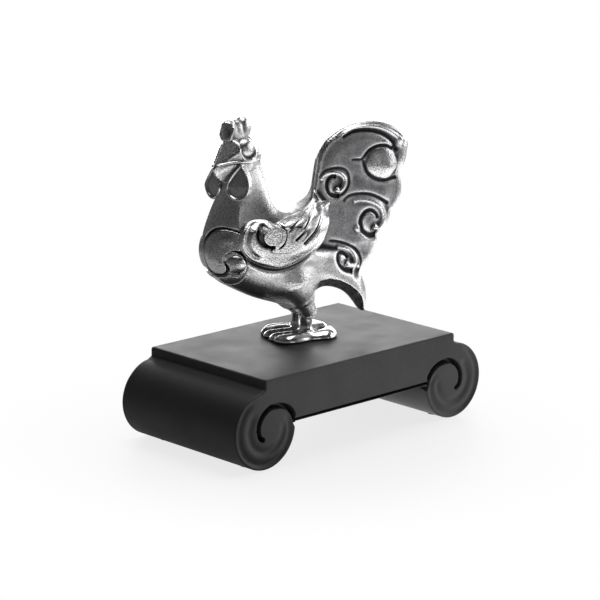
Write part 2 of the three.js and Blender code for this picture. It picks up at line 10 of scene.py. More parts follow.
import bmesh
import bpy
import numpy as np
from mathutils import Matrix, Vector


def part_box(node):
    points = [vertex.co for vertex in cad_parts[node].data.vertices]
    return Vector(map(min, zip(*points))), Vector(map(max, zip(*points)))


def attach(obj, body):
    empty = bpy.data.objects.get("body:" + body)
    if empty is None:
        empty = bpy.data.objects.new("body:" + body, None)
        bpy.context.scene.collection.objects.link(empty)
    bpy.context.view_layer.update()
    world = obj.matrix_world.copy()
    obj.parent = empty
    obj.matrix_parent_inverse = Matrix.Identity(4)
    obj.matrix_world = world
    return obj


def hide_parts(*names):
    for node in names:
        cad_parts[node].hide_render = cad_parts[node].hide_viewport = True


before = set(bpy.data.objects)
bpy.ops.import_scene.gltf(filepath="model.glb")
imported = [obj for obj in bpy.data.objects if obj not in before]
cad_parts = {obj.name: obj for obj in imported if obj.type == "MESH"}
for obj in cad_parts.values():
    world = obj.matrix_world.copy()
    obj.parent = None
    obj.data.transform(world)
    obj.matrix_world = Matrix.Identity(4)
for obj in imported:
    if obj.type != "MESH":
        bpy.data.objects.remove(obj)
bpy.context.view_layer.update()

import openvdb
from mathutils import Vector
from bpy.props import FloatProperty, FloatVectorProperty, PointerProperty

MM = 0.001

bl_info = {
    "name": "Pewter Rooster",
    "version": (1, 0, 0),
    "blender": (4, 5, 0),
    "location": "View3D > Sidebar > Rooster",
    "description": "Builds a cast pewter rooster on a black scroll base",
    "category": "Add Mesh",
}


# Sizes and finishes a user would change

def millimetres(name, default, description):
    return FloatProperty(name=name, default=default * MM, unit="LENGTH", precision=5, description=description)


def angle(name, default, description):
    return FloatProperty(name=name, default=math.radians(default), subtype="ANGLE", description=description)


def colour(name, default, description):
    return FloatVectorProperty(name=name, default=default, size=3, subtype="COLOR", min=0, max=1, description=description)


BASE_LOW, BASE_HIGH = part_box("scroll_base")


class RoosterBaseSizes(bpy.types.PropertyGroup):
    length: millimetres("Length", (BASE_HIGH[0] - BASE_LOW[0]) / MM, "Base over both scrolls")
    depth: millimetres("Depth", (BASE_HIGH[1] - BASE_LOW[1]) / MM, "Base from front to back")
    height: millimetres("Height", BASE_HIGH[2] / MM, "Top of the slab above the table")
    slab_length: millimetres("Slab length", 92.5, "Flat top of the slab")
    slab_thickness: millimetres("Slab thickness", 17.2, "Slab between the scrolls")
    end_drop: millimetres("End drop", 3.2, "Upright edge at the slab's ends, above the scrolls")
    scroll_radius: millimetres("Scroll radius", 13.9, "Outer radius of the scrolls")
    edge_round: millimetres("Edge rounding", 0.7, "Rounding round the two end faces")
    groove_depth: millimetres("Groove depth", 3.2, "Spiral groove in the scroll ends")
    bead_height: millimetres("Bead height", 0.75, "Relief of the soft bead round the scroll ends")
    pad_radius: millimetres("Pad radius", 3, "Felt pads under the scrolls")
    pad_inset: millimetres("Pad inset", 9, "Pads in from the front and back")


class RoosterFigureSizes(bpy.types.PropertyGroup):
    yaw: angle("Turn on the base", -18, "Body against the base's long side")
    head_turn: angle("Head turn", 22, "Head against the body")
    head_roll: angle("Head tilt", 5, "Head tipped to its right")
    leg_spacing: millimetres("Leg spacing", 7.6, "Between the two shanks")
    shank_radius: millimetres("Shank radius", 2.2, "Legs between cuff and foot")
    body_lift: millimetres("Body lift", 1.4, "Body raised on its shanks")
    wing_relief: millimetres("Wing relief", 1.5, "Wing above the flank")
    breast_relief: millimetres("Breast scroll relief", 0.8, "Breast scrolls above the neck")
    tail_relief: FloatProperty(name="Tail relief", default=1.0, min=0, max=2, description="Strength of the tail's scrolls")
    skin_step: millimetres("Body detail", 0.26, "Voxel size of body and feet")
    fine_step: millimetres("Fine detail", 0.17, "Voxel size of head, wings and scrolls")


class RoosterFinishes(bpy.types.PropertyGroup):
    pewter: colour("Pewter", (0.78, 0.78, 0.79), "Rubbed cast pewter")
    patina: colour("Patina", (0.035, 0.035, 0.037), "Dark left in the hollows")
    polish: colour("Polish", (0.86, 0.86, 0.87), "Polished feet and ridges")
    lacquer: colour("Lacquer", (0.022, 0.022, 0.0225), "Matt black base")
    felt: colour("Felt", (0.018, 0.018, 0.018), "Pads")
    zinc: colour("Zinc", (0.56, 0.57, 0.59), "Screws and washers")


class RoosterStudio(bpy.types.PropertyGroup):
    lens: FloatProperty(name="Lens", default=168, min=10, max=500, description="Focal length in millimetres")
    azimuth: angle("Camera azimuth", -43.084, "Camera round the object, from the front")
    elevation: angle("Camera elevation", 14.4, "Camera above the horizon")
    distance: FloatProperty(name="Camera distance", default=0.9988, unit="LENGTH", description="Camera to its target")
    bright_side: angle("Bright side", 95, "Middle of the room's bright half, from the front")
    key_level: FloatProperty(name="Side lamp", default=1.5, min=0, description="Radiance of the large lamp at the right")
    top_level: FloatProperty(name="Top lamp", default=2.8, min=0, description="Radiance of the lamp overhead")
    front_level: FloatProperty(name="Front lamp", default=1.3, min=0, description="Radiance of the low lamp in front")
    back_level: FloatProperty(name="Back lamp", default=4.5, min=0, description="Radiance of the low lamp behind")
    room_level: FloatProperty(name="Room", default=0.11, min=0, max=1, description="Dim room behind the camera")


def base_sizes():
    return bpy.context.scene.rooster_base


def figure_sizes():
    return bpy.context.scene.rooster_figure


# Blocks of voxels

def lengthen(rows, per_span):
    """Rows of numbers made finer by a Catmull-Rom curve through them."""
    rows = np.array(rows, float)
    ends = np.vstack([2 * rows[0] - rows[1], rows, 2 * rows[-1] - rows[-2]])
    fine = []
    for i in range(len(rows) - 1):
        a, b, c, d = ends[i:i + 4]
        for t in np.linspace(0, 1, per_span, endpoint=False):
            fine.append(0.5 * (2 * b + (c - a) * t + (2 * a - 5 * b + 4 * c - d) * t ** 2 + (3 * b - a - 3 * c + d) * t ** 3))
    fine.append(rows[-1])
    return np.array(fine)


def ease(value, low, high):
    t = np.clip((value - low) / (high - low), 0, 1)
    return t * t * (3 - 2 * t)


def blend_union(a, b, reach):
    h = np.maximum(reach - np.abs(a - b), 0)
    return np.minimum(a, b) - h * h / (4 * reach)


def blend_cut(a, b, reach):
    """The part that both share, with its edge rounded over reach."""
    h = np.maximum(reach - np.abs(a - b), 0)
    return np.maximum(a, b) + h * h / (4 * reach)


class Clay:
    """A block of voxels with its three axes."""

    def __init__(self, low, high, step):
        self.step = step
        self.first = [math.floor(v / step) for v in low]
        self.count = [math.ceil(v / step) - f + 1 for v, f in zip(high, self.first)]
        self.axes = [(np.arange(n) + f) * step for n, f in zip(self.count, self.first)]
        shapes = [(-1, 1, 1), (1, -1, 1), (1, 1, -1)]
        self.x, self.y, self.z = [a.reshape(s).astype(np.float32) for a, s in zip(self.axes, shapes)]

    def distances(self, points, quads, triangles, reach):
        """Distance field of a closed mesh, true within reach of its skin."""
        grid = openvdb.FloatGrid.createLevelSetFromPolygons(
            np.ascontiguousarray(points, np.float32), triangles=np.ascontiguousarray(triangles, np.uint32),
            quads=np.ascontiguousarray(quads, np.uint32),
            transform=openvdb.createLinearTransform(voxelSize=self.step), halfWidth=reach / self.step)
        field = np.empty(self.count, np.float32)
        grid.copyToArray(field, ijk=self.first)
        return field

    def skin(self, field):
        """The field's surface as points and quads that face outwards."""
        edge = 3 * self.step
        grid = openvdb.FloatGrid(edge)
        grid.copyFromArray(np.clip(field, -edge, edge).astype(np.float32), ijk=self.first, tolerance=0.0)
        grid.transform = openvdb.createLinearTransform(voxelSize=self.step)
        return grid.convertToQuads(0.0)

    def resampled(self, field, target):
        """The field on another block's voxels."""
        for axis in range(3):
            place = (target.axes[axis] - self.axes[axis][0]) / self.step
            low = np.clip(np.floor(place).astype(int), 0, self.count[axis] - 2)
            shape = [1, 1, 1]
            shape[axis] = -1
            part = np.clip(place - low, 0, 1).reshape(shape).astype(np.float32)
            field = np.take(field, low, axis) * (1 - part) + np.take(field, low + 1, axis) * part
        return field

    def at(self, field, points):
        """The field at loose points."""
        place = points / self.step - np.array(self.first)
        low = np.clip(np.floor(place).astype(int), 0, np.array(self.count) - 2)
        part = np.clip(place - low, 0, 1)
        total = 0
        for i in (0, 1):
            for j in (0, 1):
                for k in (0, 1):
                    weight = np.abs(1 - i - part[:, 0]) * np.abs(1 - j - part[:, 1]) * np.abs(1 - k - part[:, 2])
                    total = total + weight * field[low[:, 0] + i, low[:, 1] + j, low[:, 2] + k]
        return total

    def hollowness(self, field, reach):
        """How far the skin's neighbourhood is hollow (above 0) or standing proud (below 0)."""
        edge = 2.5 * reach
        soft = np.clip(field, -edge, edge)
        half = max(1, round(reach / self.step))
        for axis in range(3):
            for _ in range(2):
                pad = [(0, 0)] * 3
                pad[axis] = (half + 1, half)
                run = np.cumsum(np.pad(soft, pad, mode="edge"), axis=axis, dtype=np.float64)
                size = self.count[axis]
                width = 2 * half + 1
                soft = (np.take(run, range(width, width + size), axis)
                        - np.take(run, range(size), axis)).astype(np.float32) / width
        return field - soft


class Drawing:
    """Heights over the figure's side, drawn with strokes and domes on a block's X-Z voxels."""

    def __init__(self, clay, height=0.0):
        self.x, self.z = clay.axes[0], clay.axes[2]
        self.height = np.full((len(self.x), len(self.z)), height)

    def window(self, points, reach):
        points = np.atleast_2d(points)
        low, high = points.min(0) - reach, points.max(0) + reach
        span_x = slice(*np.searchsorted(self.x, [low[0], high[0]]))
        span_z = slice(*np.searchsorted(self.z, [low[1], high[1]]))
        x, z = np.meshgrid(self.x[span_x], self.z[span_z], indexing="ij")
        return (span_x, span_z), x, z

    def stroke(self, points, height, width, end_height=None, end_width=None, fade=0.0):
        """A ridge (height above 0) or groove along a curve; width is where it is 1/e high."""
        line = lengthen(points, 8)
        end_height = height if end_height is None else end_height
        end_width = width if end_width is None else end_width
        where, x, z = self.window(line, 3 * max(width, end_width))
        if not x.size:
            return
        distance, along = distance_to_line(x, z, line)
        high = height + (end_height - height) * along
        wide = width + (end_width - width) * along
        if fade:
            high = high * ease(along, 0, fade) * ease(1 - along, 0, fade)
        self.height[where] += high * np.exp(-(distance / wide) ** 2)

    def dome(self, centre, radius, height, power=0.6):
        where, x, z = self.window(np.array([centre]), radius)
        part = ((x - centre[0]) ** 2 + (z - centre[1]) ** 2) / radius ** 2
        self.height[where] += height * np.maximum(1 - part, 0) ** power

    def volume(self):
        return self.height[:, None, :].astype(np.float32)


def distance_to_line(x, z, line):
    best = np.full(x.shape, 1e9)
    along = np.zeros(x.shape)
    lengths = np.hypot(*np.diff(line, axis=0).T)
    total = max(lengths.sum(), 1e-9)
    done = 0.0
    for (ax, az), (bx, bz), length in zip(line[:-1], line[1:], lengths):
        if length > 0:
            t = np.clip(((x - ax) * (bx - ax) + (z - az) * (bz - az)) / length ** 2, 0, 1)
            d = np.hypot(x - ax - t * (bx - ax), z - az - t * (bz - az))
            near = d < best
            best = np.where(near, d, best)
            along = np.where(near, (done + t * length) / total, along)
        done += length
    return best, along


def outline_distance(x, z, outline):
    """Distance to a closed outline, below 0 inside it."""
    loop = np.vstack([outline, outline[:1]])
    distance, _ = distance_to_line(x, z, loop)
    inside = np.zeros(x.shape, bool)
    for (ax, az), (bx, bz) in zip(loop[:-1], loop[1:]):
        if az != bz:
            crosses = ((az > z) != (bz > z)) & (x < (bx - ax) * (z - az) / (bz - az) + ax)
            inside ^= crosses
    return np.where(inside, -distance, distance)


def closed_curve(points, per_span=6):
    points = np.array(points, float)
    ring = np.vstack([points[-1], points, points[:2]])
    fine = lengthen(ring, per_span)
    return fine[per_span:-per_span - 1]


def outline_volume(clay, outline):
    x, z = np.meshgrid(clay.axes[0], clay.axes[2], indexing="ij")
    return outline_distance(x, z, outline)[:, None, :].astype(np.float32)


# The figure's forms: back edge X and Z, front edge X and Z, half width, squareness, how much wider the back half is,
# and how far the front is cut to two flat faces
TORSO_RIBS = [
    [-15.9, 67.5, -29, 64.5, 5.4, 3.2, 0, 0.5], [-16.6, 64.5, -30.2, 61.5, 5.6, 3.6, 0, 0.7],
    [-16, 60.5, -31.6, 57.5, 6.2, 4.6, 0, 0.9], [-14.7, 55.5, -33.2, 52.5, 7, 5, 0, 1],
    [-12.9, 50.8, -34.9, 47, 8, 4.2, 0.02, 1], [-10.6, 47.7, -36.8, 40.5, 9.2, 3.6, 0.06, 0.95],
    [-8.4, 46.4, -37.9, 34, 10.4, 3.2, 0.09, 0.7], [-6.6, 46, -36.6, 28, 11.2, 3, 0.13, 0.35],
    [-5, 45.9, -32.8, 22.6, 11.8, 3, 0.14, 0.1], [-3.6, 46, -26, 18.4, 11.8, 3, 0.15, 0],
    [-2.2, 46.3, -18, 14.6, 11.6, 3, 0.15, 0], [-0.8, 46.7, -9.5, 12.2, 10.7, 3, 0.15, 0],
    [0.6, 47.4, 0, 13, 9.8, 3, 0.14, 0], [1.9, 48.3, 8.2, 14.4, 8.8, 2.9, 0.13, 0],
    [3, 49.4, 17.3, 9, 7.8, 2.8, 0.1, 0], [3.8, 50.8, 25.6, 2.5, 6.7, 2.8, 0.07, 0],
    [4.4, 52.2, 31.5, -1, 5.7, 3, 0.03, 0], [4.8, 53.6, 33, 7.5, 5, 3.2, 0, 0],
    [5.1, 55, 33, 18.4, 4.6, 3.6, 0, 0], [5.3, 56.4, 34.5, 24, 4.4, 4, 0, 0],
    [5.5, 57.8, 36, 29.5, 4.2, 4, 0, 0], [5.8, 59.4, 38.4, 34.5, 4, 4, 0, 0], [6.1, 61.2, 41, 40, 4, 4, 0, 0],
    [6.6, 63.4, 43.6, 46, 4, 4, 0, 0], [7.5, 65.8, 44.6, 53, 4, 4, 0, 0], [9.1, 68.6, 45, 59, 4, 4, 0, 0],
    [11.7, 71.2, 45.2, 64.5, 4, 4, 0, 0], [15.1, 73.6, 44.5, 69.5, 4, 4, 0, 0],
    [19.5, 77.8, 42.5, 75.5, 3.8, 4, 0, 0], [25, 79, 37.6, 78.5, 3.8, 3, 0, 0],
    [29, 79.2, 33.5, 79, 3, 2, 0, 0],
]
# The tail is a plate: half its thickness at the rim, above the bevel and inside, and the body that swells out of it
PLATE_EDGE, PLATE_BEVEL, PLATE_MIDDLE = 0.9, 1.9, 2.7
SWELL_OUTLINE = [
    [1.5, 60], [4, 53], [7.6, 48.6], [9.4, 46], [8.6, 42.4], [6.6, 37.6], [4.8, 34], [4.2, 30.6], [8, 26], [14, 21],
    [19, 17], [24, 12], [27, 6], [27, 0], [-60, 0], [-60, 90], [1.5, 90],
]
# Bevels along the spike's right edge and along rump and spike below: half thickness at the edge, and its growth inwards
BEVELS = [
    ([[22.5, 20.6], [24.6, 19.5], [25.7, 16], [26.4, 12.6], [26.5, 8.6], [25.9, 6.2]], 0.9, 1.0),
    ([[25, 5.2], [23.7, 5.8], [21.7, 8.6], [19.1, 11.7], [16.1, 13.9], [12.6, 15.4], [9.3, 16], [6.6, 15.4], [2.5, 13.2]],
     1.5, 1.35),
]
RING_POINTS = 88
HEAD_X = -23.2
FACET_START = 0.33
NECK_TURN = (44, 62)

# Silhouette of back, tail and rump; it opens out round the neck and belly
TAIL_OUTLINE = [
    [-6.6, 46.8], [-3, 46.7], [-0.4, 47], [2, 48.1], [3.9, 50.6], [4.9, 53.9], [5.4, 57], [5.9, 60.1], [6.6, 62.8],
    [8.1, 65.8], [10.3, 68.6], [13.5, 70.8], [16.9, 72.6], [20.4, 73.8], [23.9, 74.4], [27.4, 74.5], [30.9, 74.1], [34.4, 73.1],
    [37.4, 71.7], [40.2, 69.6], [42, 67.2], [42.5, 65], [42.1, 62.8], [41.8, 60.6], [40.9, 58], [38.9, 55.9], [38.7, 55.2],
    [39.4, 53.5], [40, 50.7], [39.9, 47.5], [38.7, 44.4], [36.5, 41.6], [35.6, 41], [35.5, 39.6], [34.7, 36.9], [33, 34.7],
    [30.7, 33.1], [30.3, 32.6], [30.9, 30.3], [31, 27.5], [30, 24.3], [27.5, 21.8], [24.5, 20.1], [24.4, 19.3], [25.6, 16],
    [26.3, 12.6], [26.4, 8.6], [25.8, 6.2], [25, 5.2], [23.7, 5.8], [21.7, 8.6], [19.1, 11.7], [16.1, 13.9], [12.6, 15.4],
    [9.3, 16], [6.6, 15.4], [2.5, 13.2],
]
OPEN_OUTLINE = [[2.5, 0], [-60, 0], [-60, 100], [-9, 100], [-8.2, 48.8]]

# Tail ornament, drawn over the tail's side: curve, height, width, end height, end width, fade
TAIL_STROKES = [
    ([[12.7, 69], [16.4, 71.8], [21.4, 73.5], [25.9, 73.9], [31, 73.3], [35.9, 71.3], [38.9, 69.3], [41, 66.6]], -0.23, 0.35, -0.25, 0.39, 0.08),
    ([[15.8, 70.6], [19.8, 72.7], [24.7, 73.2], [29.7, 72.6], [33.7, 71.2], [37.2, 68.9], [40.2, 66.2]], 0.6, 0.45, 0.8, 1.0, 0.06),
    ([[15.3, 69.5], [18.8, 71.4], [23.7, 71.9], [28.6, 71.1], [32.6, 69.4], [35.5, 66.9], [36.5, 64.6], [37.1, 62.7]], -0.39, 0.55, -0.68, 0.94, 0.06),
    ([[38.8, 66.9], [39.9, 64.3], [39.5, 61.1], [37.8, 58.5], [34.8, 57.3]], 0.72, 1.5, 0.56, 2.4, 0),
    ([[18.9, 61.6], [21.4, 61.5], [23.1, 61.5], [24.6, 62.9], [26.3, 64.6], [29.3, 65.7], [33.3, 65.6], [35.9, 64]], -0.26, 0.39, -0.62, 0.66, 0.05),
    ([[23.7, 61.7], [24.3, 58.8], [25.6, 56.3], [28.4, 54.2], [32.4, 53.1], [37.9, 53.8]], -0.33, 0.55, -0.56, 0.61, 0.06),
    ([[6.3, 55.3], [7.4, 57], [9.4, 58.5], [12, 59.2], [15, 59], [17.2, 57.7], [18.2, 55.3], [18.1, 52.6], [16.7, 50.4],
      [15, 49.2], [13, 48.7]], -0.16, 0.39, -0.37, 0.5, 0.06),
    ([[7.2, 54.9], [8.6, 57.1], [11.8, 57.6], [14.8, 56.7], [16.4, 54.6], [15.9, 51.9], [14.1, 50.7], [12.6, 51.8]], 0.24, 0.7, 0.96, 1.1, 0.03),
    ([[13.2, 55.9], [11.3, 56], [10.1, 55.1], [9.6, 53.3], [9.8, 51.5], [10.8, 49.8], [12.8, 48.9], [14.5, 49.2]], -0.65, 0.55, -0.62, 0.88, 0.04),
    ([[15.5, 46.4], [18, 48.5], [22, 49], [26.5, 48.4], [30.5, 46.6], [34.5, 43.9]], -0.23, 0.5, -0.56, 0.66, 0.06),
    ([[19.8, 46.4], [23.3, 46.7], [27.3, 45.7], [30.5, 43.9], [32.3, 41.2], [32.4, 38], [30.4, 35.5], [27.6, 36.2]], 0.24, 0.9, 0.96, 1.3, 0.03),
    ([[29.8, 39.1], [29, 41], [27, 42.4], [25, 42.1], [23.3, 40.2], [23, 37.9], [24, 35], [26.7, 33.1], [29.5, 33.2]], -0.65, 0.55, -0.74, 1.1, 0.03),
    ([[9.9, 32.9], [13.2, 32.4], [16.2, 31.4], [18.7, 30.2], [21.2, 28.4], [22.9, 25.9], [23.5, 23.5], [22.7, 21.3]], -0.29, 0.44, -0.37, 0.5, 0.06),
    ([[13.3, 30.3], [16.8, 29.4], [19.5, 27.9], [20.9, 25.4], [20.3, 23.3], [18, 23.1], [16.4, 24.4]], 0.32, 0.9, 0.96, 1.2, 0.03),
    ([[17.5, 25.8], [16.8, 27.1], [15, 28], [13.5, 27.5], [13.1, 25.7], [13.8, 23.8], [15.8, 21.9], [19.3, 20.9]], -0.59, 0.5, -0.74, 0.99, 0.03),
    ([[18.6, 57], [22, 53.6], [28, 50.8], [34, 49.6]], -0.16, 2.9, -0.15, 2.4, 0.2),
]
TAIL_DOMES = [([31.1, 59.2], 6.3, 1.4, 0.9), ([21.9, 36.3], 1.5, 0.35, 1.0), ([22, 21.9], 0.9, 0.5, 0.8)]

WING_OUTLINE = [
    [-14.5, 43.4], [-18.1, 44.9], [-22.4, 45.1], [-26, 43.4], [-28.1, 40.1], [-28.4, 36], [-26.3, 32.5], [-22.3, 29.6],
    [-16.8, 27.4], [-12.3, 26.9], [-6.8, 28], [-1.1, 30.4], [3.7, 33.7], [6.1, 38], [8.7, 43.3], [10.2, 46.7], [9.4, 47.8],
    [7, 48.2], [2.7, 48.2], [-0.5, 47], [-6.4, 45.8], [-12.3, 43.9],
]
WING_STROKES = [
    ([[-19, 44], [-23.6, 43], [-25.8, 39.8], [-25.7, 36], [-23.6, 33], [-20.4, 31]], -0.9, 0.9, -0.5, 0.8, 0.15),
    ([[-20.4, 37], [-16.4, 33.6], [-9.4, 32.4], [-2.8, 34], [1.6, 37.6], [4.6, 42]], 0.35, 3.0, 0.5, 1.6, 0.15),
    ([[-18.4, 43.2], [-20.9, 42.2], [-21.9, 39.7], [-21, 37.3], [-18.9, 36], [-16.4, 36.1]], -1.5, 0.65, -1.4, 0.6, 0.06),
    ([[-18.3, 43.8], [-15.3, 43.2], [-13.7, 41.3], [-13.4, 39.1], [-14.7, 36.9], [-16.9, 35.8]], 0.7, 0.55, 0.6, 0.5, 0.08),
    ([[-14.6, 44.2], [-12.7, 42], [-12.2, 39.4], [-13.3, 36.6], [-15.6, 34.9]], -0.6, 0.35, -0.5, 0.35, 0.1),
    ([[-12.4, 43], [-8.2, 44.9], [-2.6, 46], [0.7, 47.2]], -0.5, 0.3, -0.3, 0.26, 0.08),
    ([[-12.2, 40.4], [-7.8, 42.8], [-2.4, 45.4], [1.9, 47.6]], -0.7, 0.33, -0.4, 0.26, 0.08),
    ([[-9.1, 37.2], [-5.4, 40.2], [-0.5, 44.3], [3.6, 47.6]], -0.9, 0.4, -0.5, 0.26, 0.06),
    ([[-4.9, 34.9], [-0.4, 38.7], [3.3, 43], [6.6, 46.7]], -0.9, 0.4, -0.5, 0.28, 0.06),
]
WING_BALL = ([-17.5, 39.9], 3.6, 2.7, 0.55)

COMMA_OUTLINE = [
    [-27.6, 40.4], [-30.9, 41.7], [-34, 41.2], [-36.4, 38.5], [-37.6, 34.7], [-37.4, 31], [-36, 27.5], [-34.1, 25.9],
    [-32.4, 26.5], [-32.3, 29], [-33.1, 31.2], [-32.2, 33.4], [-30, 34.6], [-28, 34.6], [-27.2, 37],
]
COMMA_CREST = [[-29.6, 38.2], [-32.9, 38.2], [-35.2, 35.3], [-35.4, 31.8], [-34, 28.6]]
CURL_OUTLINE = [
    [-33.4, 31.2], [-32.6, 33.2], [-30, 34.3], [-27.5, 33], [-25.9, 30.1], [-25.7, 27], [-27, 23.8], [-29.1, 22.2], [-31.2, 22],
    [-33, 22.9], [-34.2, 24.4], [-33.4, 25], [-32, 25.3], [-31.3, 26.8], [-31.7, 29.2],
]
CURL_BALL = ([-29.3, 29.6], 3.3, 1.5)
CURL_HOLLOW = [[-33.2, 31.4], [-32.4, 29.6], [-31.9, 27.8], [-30.6, 26.2], [-28.4, 25.6]]


def torso_mesh():
    """Closed loft over the ribs, neck turned with the head."""
    turn = figure_sizes().head_turn
    ribs = lengthen(TORSO_RIBS, 6)
    phase = (np.arange(RING_POINTS) + 0.5) * 2 * math.pi / RING_POINTS
    rings = []
    for back_x, back_z, front_x, front_z, half_width, squareness, slant, facets in ribs:
        power = 2 / squareness
        along = np.sign(np.cos(phase)) * np.abs(np.cos(phase)) ** power
        across = np.sign(np.sin(phase)) * np.abs(np.sin(phase)) ** power * half_width * (1 + slant * along)
        faceted = half_width * (1 - 0.88 * np.clip((-along - FACET_START) / (1 - FACET_START), 0, 1))
        across += facets * (np.sign(across) * np.minimum(np.abs(across), faceted) - across)
        middle_x, middle_z = (back_x + front_x) / 2, (back_z + front_z) / 2
        reach_x, reach_z = back_x - middle_x, back_z - middle_z
        amount = turn * ease(middle_z, *NECK_TURN) * (1 - ease(front_x, -26, HEAD_X))
        c, s = math.cos(amount), math.sin(amount)
        side_x, side_y = along * reach_x, across
        rings.append(np.stack([middle_x + c * side_x - s * side_y, s * side_x + c * side_y,
                               middle_z + along * reach_z], 1))
    return rings


def close_loft(rings):
    count = len(rings[0])
    points = np.vstack(rings + [rings[0].mean(0), rings[-1].mean(0)])
    quads, triangles = [], []
    for r in range(len(rings) - 1):
        a = r * count + np.arange(count)
        b = r * count + (np.arange(count) + 1) % count
        quads.append(np.stack([a, b, b + count, a + count], 1))
    last = (len(rings) - 1) * count
    for start, hub, flip in ((0, len(points) - 2, True), (last, len(points) - 1, False)):
        a = start + np.arange(count)
        b = start + (np.arange(count) + 1) % count
        triangles.append(np.stack([a, np.full(count, hub), b] if flip else [a, b, np.full(count, hub)], 1))
    return points, np.vstack(quads), np.vstack(triangles)


class Sculpture:
    """The torso's distance field before and after its ornament, shared by the pieces."""
    clay = None
    smooth = None
    full = None


def seam_height(x):
    """Where head casting and neck meet, in the figure's frame."""
    return 62.6 + 0.22 * (x - HEAD_X)


def sculpt_torso():
    if Sculpture.smooth is not None:
        return Sculpture
    clay = Clay((-40.5, -14, 3.5), (46, 14, 77), figure_sizes().skin_step / MM)
    field = clay.distances(*close_loft(torso_mesh()), reach=4.5)
    ahead = -outline_volume(clay, np.array(SWELL_OUTLINE, float))
    low = ease(34 - clay.z, 0, 8)
    swelling = ease(ahead, -0.6 - 11.4 * low, 5.2 + 8.8 * low)
    outline = outline_volume(clay, np.vstack([lengthen(TAIL_OUTLINE, 3), OPEN_OUTLINE])) - 0.15
    full = blend_cut(field, outline, 0.7)
    bevel = PLATE_EDGE + (PLATE_BEVEL - PLATE_EDGE) * np.clip(-outline / 1.1, 0, 1)
    plate = bevel + (PLATE_MIDDLE - PLATE_BEVEL) * ease(-outline, 0.8, 7) + 10 * swelling
    field = blend_cut(full, np.abs(clay.y) - plate, 0.5 + 6 * low)
    x, z = np.meshgrid(clay.axes[0], clay.axes[2], indexing="ij")
    for line, edge, growth in BEVELS:
        inwards, _ = distance_to_line(x, z, np.array(line))
        allowed = edge + growth * inwards[:, None, :].astype(np.float32)
        field = blend_cut(field, (np.abs(clay.y) - allowed) / math.hypot(1, growth), 0.4)
    Sculpture.clay, Sculpture.full, Sculpture.smooth = clay, full, field
    return Sculpture


def tail_drawing(clay):
    drawing = Drawing(clay)
    for curve, height, width, end_height, end_width, fade in TAIL_STROKES:
        drawing.stroke(curve, height, width, end_height, end_width, fade)
    for centre, radius, height, power in TAIL_DOMES:
        drawing.dome(centre, radius, height, power)
    drawing.height *= figure_sizes().tail_relief
    return drawing


# Meshes

def mesh_object(name, points, faces, attributes=None):
    """A mesh object from arrays of points and equal-sided faces."""
    faces = np.asarray(faces, np.int32)
    mesh = bpy.data.meshes.new(name)
    mesh.vertices.add(len(points))
    mesh.vertices.foreach_set("co", np.asarray(points, np.float32).ravel())
    mesh.loops.add(faces.size)
    mesh.loops.foreach_set("vertex_index", faces.ravel())
    mesh.polygons.add(len(faces))
    mesh.polygons.foreach_set("loop_start", np.arange(0, faces.size, faces.shape[1], dtype=np.int32))
    mesh.polygons.foreach_set("use_smooth", np.ones(len(faces), bool))
    mesh.update(calc_edges=True)
    mesh.validate()
    for key, values in (attributes or {}).items():
        layer = mesh.attributes.new(key, "FLOAT", "POINT")
        layer.data.foreach_set("value", np.asarray(values, np.float32))
    piece = bpy.data.objects.new(name, mesh)
    bpy.context.scene.collection.objects.link(piece)
    return piece


def mesh_points(piece):
    points = np.empty(len(piece.data.vertices) * 3, np.float32)
    piece.data.vertices.foreach_get("co", points)
    return points.reshape(-1, 3)


def turned(points, amount):
    c, s = math.cos(amount), math.sin(amount)
    x, y, z = points.T
    return np.stack([c * x - s * y, s * x + c * y, z], 1)


FEET_PLACE = np.array([2.8, 5.3, 32.3])


def feet_to_world(points):
    return (turned(points, figure_sizes().yaw) + FEET_PLACE) * MM


def figure_to_world(points):
    lift = np.array([0, 0, figure_sizes().body_lift / MM])
    return feet_to_world(points + lift)


def head_to_figure(points):
    return turned(points, figure_sizes().head_turn) + np.array([HEAD_X, 0, 0])


def put(piece, node, material):
    piece.data.materials.clear()
    piece.data.materials.append(material)
    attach(piece, "root")
    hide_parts(*(node if isinstance(node, (list, tuple)) else [node]))
    return piece


def sculpted(name, clay, field, to_world, mirror=False, reach=0.7, dull=None):
    """Takes the skin off a field and places it, with how hollow and how dull each point is."""
    points, quads = clay.skin(field)
    hollow = clay.at(clay.hollowness(field, reach), points)
    values = {"hollow": hollow, "dull": np.zeros(len(points)) if dull is None else dull(points)}
    if mirror:
        points = points * np.array([1, -1, 1])
        quads = quads[:, ::-1]
    return mesh_object(name, to_world(points), quads, values)


